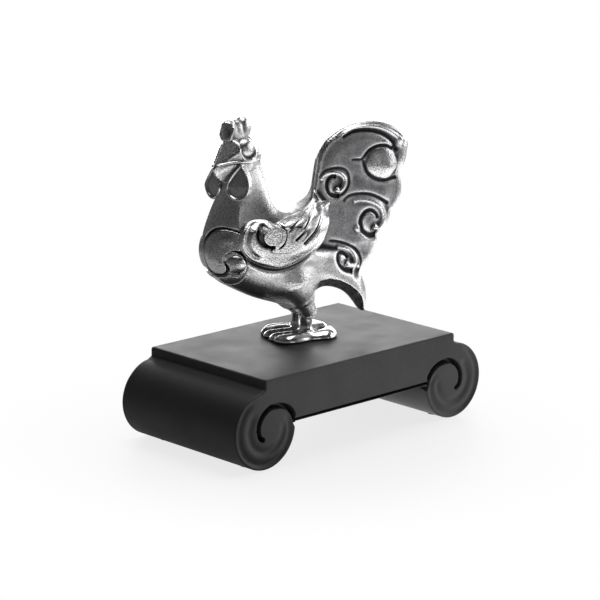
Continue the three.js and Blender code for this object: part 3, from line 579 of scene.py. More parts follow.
def halved(name, clay, field, side, to_world, relief, reach=0.7):
    """One side of a skin, closed by a flat face at the middle plane."""
    points, quads = clay.skin(field)
    piece = mesh_object(name, points, quads)
    work = bmesh.new()
    work.from_mesh(piece.data)
    geometry = work.verts[:] + work.edges[:] + work.faces[:]
    found = bmesh.ops.bisect_plane(work, geom=geometry, plane_co=(0, side * 0.03, 0), plane_no=(0, -side, 0),
                                   clear_outer=True, dist=1e-5)
    rim = [e for e in found["geom_cut"] if isinstance(e, bmesh.types.BMEdge)]
    filled = bmesh.ops.triangle_fill(work, use_beauty=True, use_dissolve=False, edges=rim, normal=(0, -side, 0))
    for face in filled["geom"]:
        if isinstance(face, bmesh.types.BMFace):
            face.smooth = False
    bmesh.ops.recalc_face_normals(work, faces=work.faces[:])
    for edge in work.edges:
        if len(edge.link_faces) == 2 and edge.calc_face_angle(0) > 1.2:
            edge.smooth = False
    work.to_mesh(piece.data)
    work.free()
    loose = mesh_points(piece).astype(float)
    layer = piece.data.attributes.new("hollow", "FLOAT", "POINT")
    layer.data.foreach_set("value", clay.at(clay.hollowness(field, reach), loose).astype(np.float32))
    dull = ease(outline_distance(loose[:, 0], loose[:, 2], np.array(SWELL_OUTLINE, float)), -3, 3)
    dull *= 1 - ease(clay.at(relief, loose), 0.2, 0.75)
    layer = piece.data.attributes.new("dull", "FLOAT", "POINT")
    layer.data.foreach_set("value", dull.astype(np.float32))
    piece.data.vertices.foreach_set("co", to_world(loose).astype(np.float32).ravel())
    piece.data.update()
    return piece


# Materials

def new_material(name):
    material = bpy.data.materials.new(name)
    material.use_nodes = True
    nodes = material.node_tree.nodes
    return material, nodes, material.node_tree.links, nodes["Principled BSDF"]


def ramp(nodes, links, source, stops):
    node = nodes.new("ShaderNodeValToRGB")
    elements = node.color_ramp.elements
    while len(elements) < len(stops):
        elements.new(0.5)
    for element, (place, value) in zip(elements, stops):
        element.position = place
        element.color = (*value, 1) if isinstance(value, (tuple, list)) else (value, value, value, 1)
    links.new(source, node.inputs["Fac"])
    return node.outputs["Color"]


def noise(nodes, links, scale, detail=3.0, roughness=0.55):
    place = nodes.new("ShaderNodeTexCoord")
    node = nodes.new("ShaderNodeTexNoise")
    node.inputs["Scale"].default_value = scale
    node.inputs["Detail"].default_value = detail
    node.inputs["Roughness"].default_value = roughness
    links.new(place.outputs["Object"], node.inputs["Vector"])
    return node.outputs["Fac"]


def math_node(nodes, links, operation, a, b, clamp=False):
    node = nodes.new("ShaderNodeMath")
    node.operation = operation
    node.use_clamp = clamp
    for socket, value in zip(node.inputs, (a, b)):
        if isinstance(value, (int, float)):
            socket.default_value = value
        else:
            links.new(value, socket)
    return node.outputs[0]


def mix_colour(nodes, links, blend, factor, a, b):
    node = nodes.new("ShaderNodeMix")
    node.data_type = "RGBA"
    node.blend_type = blend
    colours = [item for item in node.inputs if item.type == "RGBA"]
    node.inputs[0].default_value = factor
    for socket, value in zip(colours, (a, b)):
        links.new(value, socket)
    return next(item for item in node.outputs if item.type == "RGBA")


def bump(nodes, links, height, distance, strength=1.0, below=None):
    node = nodes.new("ShaderNodeBump")
    node.inputs["Strength"].default_value = strength
    node.inputs["Distance"].default_value = distance
    links.new(height, node.inputs["Height"])
    if below is not None:
        links.new(below, node.inputs["Normal"])
    return node.outputs["Normal"]


def pewter_satin():
    """Sand-cast pewter: grainy, dark where polishing can't reach, rubbed bright on the ridges."""
    known = bpy.data.materials.get("satin_cast_pewter")
    if known:
        return known
    finishes = bpy.context.scene.rooster_finishes
    material, nodes, links, shader = new_material("satin_cast_pewter")
    depth = nodes.new("ShaderNodeAttribute")
    depth.attribute_name = "hollow"
    blotch = noise(nodes, links, 260, 4, 0.6)
    grain = noise(nodes, links, 1900, 2, 0.6)
    shifted = math_node(nodes, links, "ADD", depth.outputs["Fac"],
                        math_node(nodes, links, "MULTIPLY", math_node(nodes, links, "SUBTRACT", blotch, 0.5), 0.06))
    dull = nodes.new("ShaderNodeAttribute")
    dull.attribute_name = "dull"
    shifted = math_node(nodes, links, "ADD", shifted, math_node(nodes, links, "MULTIPLY", dull.outputs["Fac"], 0.08))
    level = math_node(nodes, links, "MULTIPLY_ADD", shifted, 2.2)
    level.node.inputs[2].default_value = 0.5
    body, dark, bright = (tuple(c) for c in (finishes.pewter, finishes.patina, finishes.polish))
    tone = ramp(nodes, links, level, [(0.12, bright), (0.36, body), (0.52, tuple(0.85 * c for c in body)),
                                      (0.74, tuple(4.5 * c for c in dark)), (1.0, dark)])
    speckle = ramp(nodes, links, grain, [(0.32, 0.3), (0.62, 1.0)])
    links.new(mix_colour(nodes, links, "MULTIPLY", 0.7, tone, speckle), shader.inputs["Base Color"])
    rough = ramp(nodes, links, level, [(0.2, 0.2), (0.45, 0.27), (0.75, 0.5)])
    links.new(rough, shader.inputs["Roughness"])
    shader.inputs["Metallic"].default_value = 1.0
    fine = bump(nodes, links, grain, 0.0001, 1.0)
    links.new(bump(nodes, links, noise(nodes, links, 700, 3, 0.5), 0.0001, 0.25, fine), shader.inputs["Normal"])
    return material


def pewter_polished():
    known = bpy.data.materials.get("hand_polished_pewter")
    if known:
        return known
    finishes = bpy.context.scene.rooster_finishes
    material, nodes, links, shader = new_material("hand_polished_pewter")
    depth = nodes.new("ShaderNodeAttribute")
    depth.attribute_name = "hollow"
    level = math_node(nodes, links, "MULTIPLY_ADD", depth.outputs["Fac"], 1.6)
    level.node.inputs[2].default_value = 0.5
    tone = ramp(nodes, links, level, [(0.5, tuple(finishes.polish)), (0.66, tuple(0.4 * c for c in finishes.polish)),
                                      (0.85, tuple(finishes.patina))])
    links.new(tone, shader.inputs["Base Color"])
    shader.inputs["Metallic"].default_value = 1.0
    links.new(ramp(nodes, links, noise(nodes, links, 420, 3), [(0.35, 0.12), (0.7, 0.22)]), shader.inputs["Roughness"])
    links.new(bump(nodes, links, noise(nodes, links, 160, 2), 0.0004, 0.25), shader.inputs["Normal"])
    return material


def black_lacquer():
    finishes = bpy.context.scene.rooster_finishes
    material, nodes, links, shader = new_material("matt_black_lacquer")
    speck = noise(nodes, links, 2600, 2, 0.6)
    tint = ramp(nodes, links, speck, [(0.35, tuple(0.8 * c for c in finishes.lacquer)), (0.62, tuple(finishes.lacquer)),
                                      (0.74, tuple(1.9 * c for c in finishes.lacquer))])
    links.new(tint, shader.inputs["Base Color"])
    links.new(ramp(nodes, links, noise(nodes, links, 90, 3), [(0.3, 0.50), (0.7, 0.58)]), shader.inputs["Roughness"])
    shader.inputs["IOR"].default_value = 1.45
    links.new(bump(nodes, links, speck, 0.00004, 0.5), shader.inputs["Normal"])
    return material


def felt_black():
    finishes = bpy.context.scene.rooster_finishes
    material, nodes, links, shader = new_material("felt_black")
    fibre = noise(nodes, links, 3000, 6, 0.8)
    links.new(ramp(nodes, links, fibre, [(0.3, tuple(0.5 * c for c in finishes.felt)), (0.75, tuple(2.2 * c for c in finishes.felt))]),
              shader.inputs["Base Color"])
    shader.inputs["Roughness"].default_value = 1.0
    shader.inputs["Sheen Weight"].default_value = 0.3
    links.new(bump(nodes, links, fibre, 0.0002, 0.8), shader.inputs["Normal"])
    return material


def zinc_plate():
    finishes = bpy.context.scene.rooster_finishes
    material, nodes, links, shader = new_material("zinc_plate")
    cloud = noise(nodes, links, 500, 4)
    links.new(ramp(nodes, links, cloud, [(0.3, tuple(0.8 * c for c in finishes.zinc)), (0.7, tuple(finishes.zinc))]),
              shader.inputs["Base Color"])
    shader.inputs["Metallic"].default_value = 1.0
    links.new(ramp(nodes, links, cloud, [(0.3, 0.3), (0.7, 0.42)]), shader.inputs["Roughness"])
    links.new(bump(nodes, links, noise(nodes, links, 2500, 2), 0.00003, 0.4), shader.inputs["Normal"])
    return material


# Base

def base_profile(sizes):
    """Half outline from the slab's top edge round the scroll to the slab's underside, and where the arc is."""
    half = sizes.slab_length / MM / 2
    top = sizes.height / MM
    radius = sizes.scroll_radius / MM
    centre = (sizes.length / MM / 2 - radius, radius + 0.2)
    under = top - sizes.slab_thickness / MM
    round_radius = sizes.edge_round / MM + 0.2
    points = [[half - round_radius - 0.5, top]]
    for a in np.linspace(math.pi / 2, 0, 7):
        points.append([half - round_radius + round_radius * math.cos(a), top - round_radius + round_radius * math.sin(a)])
    cove = top - sizes.end_drop / MM
    for a in np.linspace(math.pi, 1.45 * math.pi, 5):
        points.append([half + 0.6 + 0.6 * math.cos(a), cove + 0.35 + 0.6 * math.sin(a)])
    start = math.radians(82)
    end = -math.pi - math.asin((under - centre[1]) / radius)
    steps = 250
    arc_first = len(points)
    for i in range(steps + 1):
        a = start + (end - start) * i / steps
        points.append([centre[0] + radius * math.cos(a), centre[1] + radius * math.sin(a)])
    return np.array(points), arc_first, steps, centre, (start, end)


DARK_GROOVE = [
    [-14.4, -0.4], [-13.8, 0.8], [-13, 3.1], [-10.7, 6], [-7.1, 7.7], [-2.4, 7.9], [0.9, 6.2], [2.9, 3.5], [3.4, 0.6],
    [2.8, -1.9], [1.3, -2.9],
]
BEAD_GROOVE = [[3.5, 12.4], [8.2, 9.4], [11.2, 5], [12, 0], [11, -4.8], [7.8, -9], [3, -11.4], [-2.2, -11.5], [-7, -9.6],
               [-10.2, -5.6], [-11.4, -1], [-10.3, 2.6], [-7.6, 4.9]]
CURL_GROOVE = [[-7.8, 3], [-8.3, -0.6], [-6.6, -4.6], [-2.8, -7.2], [1.8, -7.2], [5.8, -4.4], [7.4, 0], [6.4, 4.4], [3.6, 7.4]]


def scroll_depth(x, z, sizes):
    """How deep the scroll's end face is carved at a place measured from the scroll's centre."""
    depth = np.zeros(x.shape)
    distance, along = distance_to_line(x, z, lengthen(DARK_GROOVE, 8))
    wide = 0.85 - 0.2 * along
    depth += sizes.groove_depth / MM * (1 - ease(distance, wide - 0.3, wide + 0.3))
    bead = sizes.bead_height / MM
    depth *= ease(np.hypot(x + sizes.scroll_radius / MM, z - 0.7), 0.3, 1.1)
    for line, strength, width in ((BEAD_GROOVE, 1.0, 1.15), (CURL_GROOVE, 0.8, 1.3)):
        distance, along = distance_to_line(x, z, lengthen(line, 8))
        fade = ease(along, 0, 0.12) * ease(1 - along, 0, 0.1)
        depth += bead * strength * fade * np.exp(-(distance / width) ** 2)
    return depth


def inset_loop(loop, distance):
    """A closed outline moved inwards by distance; the outline runs clockwise."""
    before = loop - np.roll(loop, 1, 0)
    after = np.roll(loop, -1, 0) - loop
    normals = []
    for edge in (before, after):
        length = np.maximum(np.hypot(*edge.T), 1e-9)
        normals.append(np.stack([edge[:, 1] / length, -edge[:, 0] / length], 1))
    mean = normals[0] + normals[1]
    scale = 2 / np.maximum((mean ** 2).sum(1), 0.8)
    return loop + distance * mean * scale[:, None]


def base_mesh(sizes):
    """Slab and scrolls as one closed mesh, each end face with fine rings where it is carved."""
    half_outline, arc_first, arc_steps, centre, (start, end) = base_profile(sizes)
    mirrored = half_outline[::-1] * np.array([-1, 1])
    outline = np.vstack([half_outline, mirrored])
    count, half_count = len(outline), len(half_outline)
    edge_round = sizes.edge_round / MM
    half_depth = sizes.depth / MM / 2
    arc = np.linspace(0, math.pi / 2, 6)
    loops = [(edge_round * (1 - math.cos(a)), edge_round * (1 - math.sin(a))) for a in arc]
    loops = [(0, edge_round + 0.5), *loops, (edge_round + 0.12, 0)]
    inner_steps, rings = 96, 46
    inner_share = np.linspace(0, 1, inner_steps + 1)[1:-1]
    wave = np.sin(math.pi * inner_share)
    bulge = 3.2 * np.where(inner_share < 0.5, wave ** 0.7, wave ** 1.6)

    def face(front):
        """Points, quads and the slab's flat polygon of one end face, seen from outside."""
        sign = -1 if front else 1
        points, quads = [], []
        for inset, back in loops:
            flat = inset_loop(outline, inset)
            points.append(np.stack([flat[:, 0], np.full(count, sign * (half_depth - back)), flat[:, 1]], 1))
        total = count * len(loops)
        carve_shares = [np.ones(total)]
        for level in range(len(loops) - 1):
            a = level * count + np.arange(count)
            b = level * count + (np.arange(count) + 1) % count
            quads.append(np.stack([a, a + count, b + count, b], 1))
        last = (len(loops) - 1) * count
        slab = {}
        for side in (1, -1):
            if side > 0:
                arc = last + arc_first + np.arange(arc_steps + 1)
            else:
                arc = last + count - 1 - (arc_first + np.arange(arc_steps + 1))
            rim_points = np.vstack(points)[arc]
            under, over = ((side * p[0] - centre[0], p[2] - centre[1]) for p in (rim_points[-1], rim_points[0]))
            from_angle, to_angle = (math.atan2(z, x) for x, z in (under, over))
            from_reach, to_reach = math.hypot(*under), math.hypot(*over)
            inner_angles = from_angle + (to_angle - from_angle) * inner_share
            reach = from_reach + (to_reach - from_reach) * inner_share + bulge
            inner = np.stack([side * (centre[0] + reach * np.cos(inner_angles)), np.full(len(inner_angles), sign * half_depth),
                              centre[1] + reach * np.sin(inner_angles)], 1)
            inner_index = total + np.arange(len(inner))
            points.append(inner)
            total += len(inner)
            ring = np.concatenate([arc, inner_index])
            rim = np.vstack([rim_points, inner])
            middle = np.array([side * centre[0], sign * half_depth, centre[1]])
            previous = ring
            arc_share = np.concatenate([np.ones(len(arc)), np.zeros(len(inner))])
            carve_shares.append(np.zeros(len(inner)))
            for k in range(1, rings):
                share = 1 - k / rings
                level = middle + (rim - middle) * share
                level[:, 1] = sign * half_depth
                carve_shares.append(np.maximum(arc_share, ease(1 - share, 0.0, 0.09)))
                index = total + np.arange(len(level))
                points.append(level)
                total += len(level)
                nxt, nxt_index = np.roll(previous, -1), np.roll(index, -1)
                quads.append(np.stack([previous, index, nxt_index, nxt] if side > 0 else [previous, nxt, nxt_index, index], 1))
                previous = index
            points.append(middle[None])
            carve_shares.append(np.ones(1))
            hub = total
            total += 1
            ring_next = np.roll(previous, -1)
            hub_column = np.full(len(previous), hub)
            fan = np.stack([previous, hub_column, ring_next] if side > 0 else [previous, ring_next, hub_column], 1)
            slab[side] = (arc, inner_index, fan)
        right_arc, right_inner, _ = slab[1]
        left_arc, left_inner, _ = slab[-1]
        top_left = last + np.arange(count - arc_first, count)
        top_right = last + np.arange(0, arc_first + 1)
        polygon = np.concatenate([top_left, top_right, right_inner[::-1], [right_arc[-1]], [left_arc[-1]], left_inner, [left_arc[0]]])
        polygon = polygon[np.sort(np.unique(polygon, return_index=True)[1])]
        points = np.vstack(points)
        carve_share = np.concatenate(carve_shares)
        for side in (1, -1):
            local_x = side * points[:, 0] - centre[0]
            local_z = points[:, 2] - centre[1]
            near = np.hypot(local_x, local_z) < 18
            points[near, 1] -= sign * (scroll_depth(local_x[near], local_z[near], sizes) * carve_share[near])
        fans = np.vstack([slab[1][2], slab[-1][2]])
        quads = np.vstack(quads)
        if not front:
            quads, fans, polygon = quads[:, ::-1], fans[:, ::-1], polygon[::-1]
        return points, quads, fans, polygon

    front_points, front_quads, front_fans, front_slab = face(True)
    back_points, back_quads, back_fans, back_slab = face(False)
    shift = len(front_points)
    a = np.arange(count)
    b = (a + 1) % count
    sides = np.stack([a, b, b + shift, a + shift], 1)
    points = np.vstack([front_points, back_points])
    quads = [front_quads, back_quads + shift, sides]
    triangles = [front_fans, back_fans + shift]
    mesh = bpy.data.meshes.new("scroll_base_block")
    faces = [list(map(int, q)) for q in np.vstack(quads)] + [list(map(int, t)) for t in np.vstack(triangles)]
    faces += [[int(v) for v in front_slab], [int(v) + shift for v in back_slab]]
    mesh.from_pydata(points * MM, [], faces)
    return mesh


def build_base():
    sizes = base_sizes()
    mesh = base_mesh(sizes)
    work = bmesh.new()
    work.from_mesh(mesh)
    large = [f for f in work.faces if len(f.verts) > 4]
    flat = bmesh.ops.triangulate(work, faces=large, ngon_method="EAR_CLIP")["faces"]
    bmesh.ops.recalc_face_normals(work, faces=work.faces[:])
    for face in work.faces:
        face.smooth = True
    for face in flat:
        face.smooth = False
    for edge in work.edges:
        if len(edge.link_faces) == 2 and edge.calc_face_angle(0) > 0.9:
            edge.smooth = False
    work.to_mesh(mesh)
    work.free()
    mesh.validate()
    piece = bpy.data.objects.new("scroll_base_block", mesh)
    bpy.context.scene.collection.objects.link(piece)
    put(piece, "scroll_base", black_lacquer())


# Geometry Nodes for pads, screws and washers

def new_tree(name, inputs):
    tree = bpy.data.node_groups.new(name, "GeometryNodeTree")
    for key, value in inputs.items():
        socket = tree.interface.new_socket(key, in_out="INPUT", socket_type="NodeSocketFloat")
        socket.default_value = value
    tree.interface.new_socket("Geometry", in_out="OUTPUT", socket_type="NodeSocketGeometry")
    return tree, tree.nodes, tree.links, tree.nodes.new("NodeGroupInput"), tree.nodes.new("NodeGroupOutput")


def finish_tree(tree, geometry, group_out, material):
    nodes, links = tree.nodes, tree.links
    real = nodes.new("GeometryNodeRealizeInstances")
    paint = nodes.new("GeometryNodeSetMaterial")
    paint.inputs["Material"].default_value = material
    links.new(geometry, real.inputs["Geometry"])
    links.new(real.outputs["Geometry"], paint.inputs["Geometry"])
    links.new(paint.outputs["Geometry"], group_out.inputs["Geometry"])


def from_tree(name, tree, values):
    """Runs a tree on an empty mesh and keeps the result as a plain mesh."""
    holder = bpy.data.objects.new(name, bpy.data.meshes.new(name + "_holder"))
    bpy.context.scene.collection.objects.link(holder)
    modifier = holder.modifiers.new("Build", "NODES")
    modifier.node_group = tree
    for item in tree.interface.items_tree:
        if item.in_out == "INPUT" and item.name in values:
            modifier[item.identifier] = values[item.name]
    graph = bpy.context.evaluated_depsgraph_get()
    plain = bpy.data.meshes.new_from_object(holder.evaluated_get(graph))
    holder.modifiers.remove(modifier)
    holder.data = plain
    holder.data.name = name
    work = bmesh.new()
    work.from_mesh(plain)
    bmesh.ops.remove_doubles(work, verts=work.verts[:], dist=1e-7)
    bmesh.ops.recalc_face_normals(work, faces=work.faces[:])
    for edge in work.edges:
        edge.smooth = not (len(edge.link_faces) == 2 and edge.calc_face_angle(0) > 0.6)
    for face in work.faces:
        face.smooth = True
    work.to_mesh(plain)
    work.free()
    return holder


def combine(nodes, links, x=0.0, y=0.0, z=0.0):
    node = nodes.new("ShaderNodeCombineXYZ")
    for socket, value in zip(node.inputs, (x, y, z)):
        if isinstance(value, (int, float)):
            socket.default_value = value
        else:
            links.new(value, socket)
    return node.outputs[0]


def pad_tree(material):
    """Round pads at the corners of an oblong."""
    tree, nodes, links, group_in, group_out = new_tree(
        "felt_pads", {"Radius": 0.003, "Thickness": 0.0012, "Along": 0.09, "Across": 0.04})
    corners = nodes.new("GeometryNodeMeshGrid")
    corners.inputs["Vertices X"].default_value = 2
    corners.inputs["Vertices Y"].default_value = 2
    links.new(group_in.outputs["Along"], corners.inputs["Size X"])
    links.new(group_in.outputs["Across"], corners.inputs["Size Y"])
    disc = nodes.new("GeometryNodeMeshCylinder")
    disc.inputs["Vertices"].default_value = 48
    links.new(group_in.outputs["Radius"], disc.inputs["Radius"])
    links.new(group_in.outputs["Thickness"], disc.inputs["Depth"])
    lift = nodes.new("GeometryNodeTransform")
    links.new(disc.outputs["Mesh"], lift.inputs["Geometry"])
    half = math_node(nodes, links, "MULTIPLY", group_in.outputs["Thickness"], 0.5)
    links.new(combine(nodes, links, z=half), lift.inputs["Translation"])
    place = nodes.new("GeometryNodeInstanceOnPoints")
    links.new(corners.outputs["Mesh"], place.inputs["Points"])
    links.new(lift.outputs["Geometry"], place.inputs["Instance"])
    finish_tree(tree, place.outputs["Instances"], group_out, material)
    return tree


def ring_tree(name, material, bore_sides, bore_deep):
    """Washers or screw heads with a bore or socket, at two places."""
    tree, nodes, links, group_in, group_out = new_tree(name, {
        "Radius": 0.0032, "Height": 0.0006, "Bore": 0.0018, "Bore Height": 0.002, "Base Z": 0.0, "Bore Z": 0.0,
        "Shank": 0.0015, "Shank Height": 0.0, "Shank Z": 0.0,
        "X1": 0.0, "Y1": 0.0, "X2": 0.0, "Y2": 0.0})

    def rod(radius, height, bottom, sides):
        node = nodes.new("GeometryNodeMeshCylinder")
        node.inputs["Vertices"].default_value = sides
        links.new(group_in.outputs[radius], node.inputs["Radius"])
        links.new(group_in.outputs[height], node.inputs["Depth"])
        move = nodes.new("GeometryNodeTransform")
        half = math_node(nodes, links, "MULTIPLY", group_in.outputs[height], 0.5)
        links.new(combine(nodes, links, z=math_node(nodes, links, "ADD", half, group_in.outputs[bottom])), move.inputs["Translation"])
        links.new(node.outputs["Mesh"], move.inputs["Geometry"])
        return move.outputs["Geometry"]

    cut = nodes.new("GeometryNodeMeshBoolean")
    cut.operation = "DIFFERENCE"
    cut.solver = "EXACT"
    links.new(rod("Radius", "Height", "Base Z", 48), cut.inputs["Mesh 1"])
    links.new(rod("Bore", "Bore Height", "Bore Z", bore_sides), cut.inputs["Mesh 2"])
    body = cut.outputs["Mesh"]
    if bore_deep:
        fuse = nodes.new("GeometryNodeMeshBoolean")
        fuse.operation = "UNION"
        fuse.solver = "EXACT"
        links.new(body, fuse.inputs["Mesh 2"])
        links.new(rod("Shank", "Shank Height", "Shank Z", 32), fuse.inputs["Mesh 2"])
        body = fuse.outputs["Mesh"]
    points = []
    for x, y in (("X1", "Y1"), ("X2", "Y2")):
        spot = nodes.new("GeometryNodePoints")
        spot.inputs["Count"].default_value = 1
        links.new(combine(nodes, links, group_in.outputs[x], group_in.outputs[y]), spot.inputs["Position"])
        points.append(spot.outputs["Points"] if "Points" in spot.outputs else spot.outputs[0])
    both = nodes.new("GeometryNodeJoinGeometry")
    for spot in points:
        links.new(spot, both.inputs["Geometry"])
    place = nodes.new("GeometryNodeInstanceOnPoints")
    links.new(both.outputs["Geometry"], place.inputs["Points"])
    links.new(body, place.inputs["Instance"])
    finish_tree(tree, place.outputs["Instances"], group_out, material)
    return tree


def build_pads():
    sizes = base_sizes()
    low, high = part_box("pad_front_left")
    material = felt_black()
    tree = pad_tree(material)
    piece = from_tree("felt_pads", tree, {
        "Radius": sizes.pad_radius, "Thickness": float(high[2] - low[2]),
        "Along": sizes.length - 2 * sizes.scroll_radius, "Across": sizes.depth - 2 * sizes.pad_inset})
    put(piece, [f"pad_{row}_{end}" for row in ("front", "back") for end in ("left", "right")], material)


def build_fixings():
    material = zinc_plate()
    middles = {}
    for part in ("fixing_screw", "washer"):
        boxes = [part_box(f"{side}_{part}") for side in ("left", "right")]
        middles[part] = [tuple(float(lo + hi) / 2 for lo, hi in zip(*box)) for box in boxes]
        low, high = (tuple(float(v) for v in corner) for corner in boxes[0])
        (x1, y1, _), (x2, y2, _) = middles[part]
        places = {"X1": x1, "Y1": y1, "X2": x2, "Y2": y2}
        radius = (high[0] - low[0]) / 2
        if part == "washer":
            tree = ring_tree("washers", material, 32, False)
            values = {"Radius": radius, "Height": high[2] - low[2], "Base Z": low[2], "Bore": 0.0018,
                      "Bore Height": 0.004, "Bore Z": low[2] - 0.0015}
        else:
            tree = ring_tree("screws", material, 6, True)
            values = {"Radius": radius, "Height": 0.002, "Base Z": low[2], "Bore": 0.00125, "Bore Height": 0.0022,
                      "Bore Z": low[2] - 0.001, "Shank": 0.0015, "Shank Height": high[2] - low[2] - 0.0015,
                      "Shank Z": low[2] + 0.0015}
        piece = from_tree(f"{part}s", tree, {**values, **places})
        put(piece, [f"left_{part}", f"right_{part}"], material)


# Figure pieces

def build_shells():
    torso = sculpt_torso()
    clay = torso.clay
    field = torso.smooth.copy()
    side_share = ease(np.abs(clay.y), 0.4, 1.4)
    drawn = tail_drawing(clay).volume()
    field -= drawn * side_share
    relief = np.broadcast_to(drawn, clay.count)
    wing = outline_volume(clay, closed_curve(WING_OUTLINE))
    moat = 0.75 * np.exp(-((wing - 0.6) / 0.85) ** 2) * ease(44 - clay.z, 0, 6) * (1 - 0.6 * ease(clay.x, -4, 4))
    field += moat * ease(np.abs(clay.y), 2, 5)
    for outline in (COMMA_OUTLINE, CURL_OUTLINE):
        distance = outline_volume(clay, closed_curve(outline))
        field += 0.5 * np.exp(-((distance - 0.3) / 0.4) ** 2) * side_share
    half_spacing = figure_sizes().leg_spacing / MM / 2
    for side in (-1, 1):
        y = side * half_spacing
        thigh = chain(clay.x, clay.y, clay.z, [(-5.4, y * 1.1, 19.5), (-2.2, y, 13), (0.9, y, 7.6)], [6.6, 5.2, 3.9])
        field = blend_union(field, thigh, 4.5)
        lip = np.hypot(clay.x - 0.9, clay.y - y)
        hem = clay.z - (5.7 + 0.16 * (clay.x - 0.9) ** 2)
        roll = np.hypot(np.maximum(lip - 3.6, 0), hem - 0.5) - 0.42
        field = np.minimum(field, np.where(lip < 4.6, roll, 9))
    field = np.maximum(field, np.where((clay.z < 12) & (clay.x < 12), 5.7 + 0.16 * np.clip(clay.x - 0.9, -4, 4) ** 2 - clay.z, -9))
    top = clay.z - seam_height(clay.x)
    field = np.maximum(field, np.where(clay.x < -8, top, -50))
    material = pewter_satin()
    for name, side in (("left", -1), ("right", 1)):
        piece = halved(f"{name}_shell_casting", clay, field, side, figure_to_world, relief)
        put(piece, f"{name}_body_shell", material)


def flank_block(low, high):
    torso = sculpt_torso()
    clay = Clay(low, high, figure_sizes().fine_step / MM)
    return clay, torso.clay.resampled(torso.full, clay), torso.clay.resampled(torso.smooth, clay)


def wing_dullness(points):
    """1 between the feather grooves, and below 0 on the lobe and ball, which are rubbed bright."""
    edge = np.maximum(36, 34.9 + 1.03 * (points[:, 0] + 4.9))
    return 2.5 * ease(points[:, 0], -13, -10) * ease(points[:, 2] - edge, -0.8, 1.2) - 1.5


def build_wings():
    clay, flank, seat = flank_block((-30.5, -15.5, 25), (12.5, -1.5, 51.5))
    drawing = Drawing(clay, figure_sizes().wing_relief / MM)
    for curve, height, width, end_height, end_width, fade in WING_STROKES:
        drawing.stroke(curve, height, width, end_height, end_width, fade)
    drawing.dome(*WING_BALL)
    outline = outline_volume(clay, closed_curve(WING_OUTLINE))
    relief = drawing.volume() - 1.3 * ease(outline + 4.2, 0, 3.6) * ease(clay.z - 42.5, 0, 3)
    relief = relief + 0.13 * np.clip(clay.z - 32, -4, 9) * (1 - ease(clay.z, 40, 46))
    field = blend_cut(flank - relief, outline, 1.4)
    field = np.maximum(field, -(seat + 0.35))
    field = np.maximum(field, clay.y + 1.6)
    material = pewter_satin()
    for name, mirror in (("left", False), ("right", True)):
        piece = sculpted(f"{name}_wing_casting", clay, field, figure_to_world, mirror, dull=wing_dullness)
        put(piece, f"{name}_wing", material)


def breast_dullness(points):
    """Below 0 on the small curl, which is rubbed bright."""
    centre = CURL_BALL[0]
    return -1.5 * (1 - ease(np.hypot(points[:, 0] - centre[0], points[:, 2] - centre[1]), 4.2, 5.6))


def build_breast_scrolls():
    clay, flank, seat = flank_block((-39.5, -13, 21), (-24, -1.5, 43.5))
    relief = figure_sizes().breast_relief / MM
    comma_drawing = Drawing(clay, relief)
    comma_drawing.stroke(COMMA_CREST, 0.35, 1.6, 0.3, 1.0, 0.1)
    comma = blend_cut(flank - comma_drawing.volume(), outline_volume(clay, closed_curve(COMMA_OUTLINE)), 0.5)
    curl_drawing = Drawing(clay, relief)
    curl_drawing.dome(*CURL_BALL)
    curl_drawing.stroke(CURL_HOLLOW, -0.7, 0.5, -0.4, 0.5)
    curl = blend_cut(flank - curl_drawing.volume(), outline_volume(clay, closed_curve(CURL_OUTLINE)), 0.5)
    field = np.minimum(comma, curl)
    field = np.maximum(field, -(seat + 0.35))
    field = np.maximum(field, clay.y + 2)
    material = pewter_satin()
    for name, mirror in (("left", False), ("right", True)):
        piece = sculpted(f"{name}_breast_scroll_casting", clay, field, figure_to_world, mirror,
                         dull=breast_dullness)
        put(piece, f"{name}_breast_scroll", material)


def plane(x, y, z, normal, point):
    length = math.sqrt(sum(n * n for n in normal))
    return sum(n / length * (v - p) for n, v, p in zip(normal, (x, y, z), point))


def ball(x, y, z, centre, radii):
    """Near enough distance to an ellipsoid."""
    cx, cy, cz = centre
    rx, ry, rz = radii
    px, py, pz = x - cx, y - cy, z - cz
    k = np.sqrt((px / rx) ** 2 + (py / ry) ** 2 + (pz / rz) ** 2)
    k2 = np.sqrt((px / rx ** 2) ** 2 + (py / ry ** 2) ** 2 + (pz / rz ** 2) ** 2)
    return k * (k - 1) / np.maximum(k2, 1e-6)


def chain(x, y, z, points, radii):
    """Distance to a string of tapered capsules."""
    best = None
    for (a, b, ra, rb) in zip(points[:-1], points[1:], radii[:-1], radii[1:]):
        dx, dy, dz = (q - p for p, q in zip(a, b))
        length = dx * dx + dy * dy + dz * dz
        px, py, pz = x - a[0], y - a[1], z - a[2]
        t = np.clip((px * dx + py * dy + pz * dz) / length, 0, 1)
        gap = np.sqrt((px - t * dx) ** 2 + (py - t * dy) ** 2 + (pz - t * dz) ** 2) - (ra + (rb - ra) * t)
        best = gap if best is None else np.minimum(best, gap)
    return best


def head_block(low, high):
    """A block in the head's frame, and its coordinates after the head's tilt."""
    clay = Clay(low, high, figure_sizes().fine_step / MM)
    roll = figure_sizes().head_roll
    c, s = math.cos(roll), math.sin(roll)
    y = clay.y * c - (clay.z - 66) * s
    z = 66 + clay.y * s + (clay.z - 66) * c
    return clay, clay.x + 0 * y, y, z


def head_to_world(points):
    return figure_to_world(head_to_figure(points))


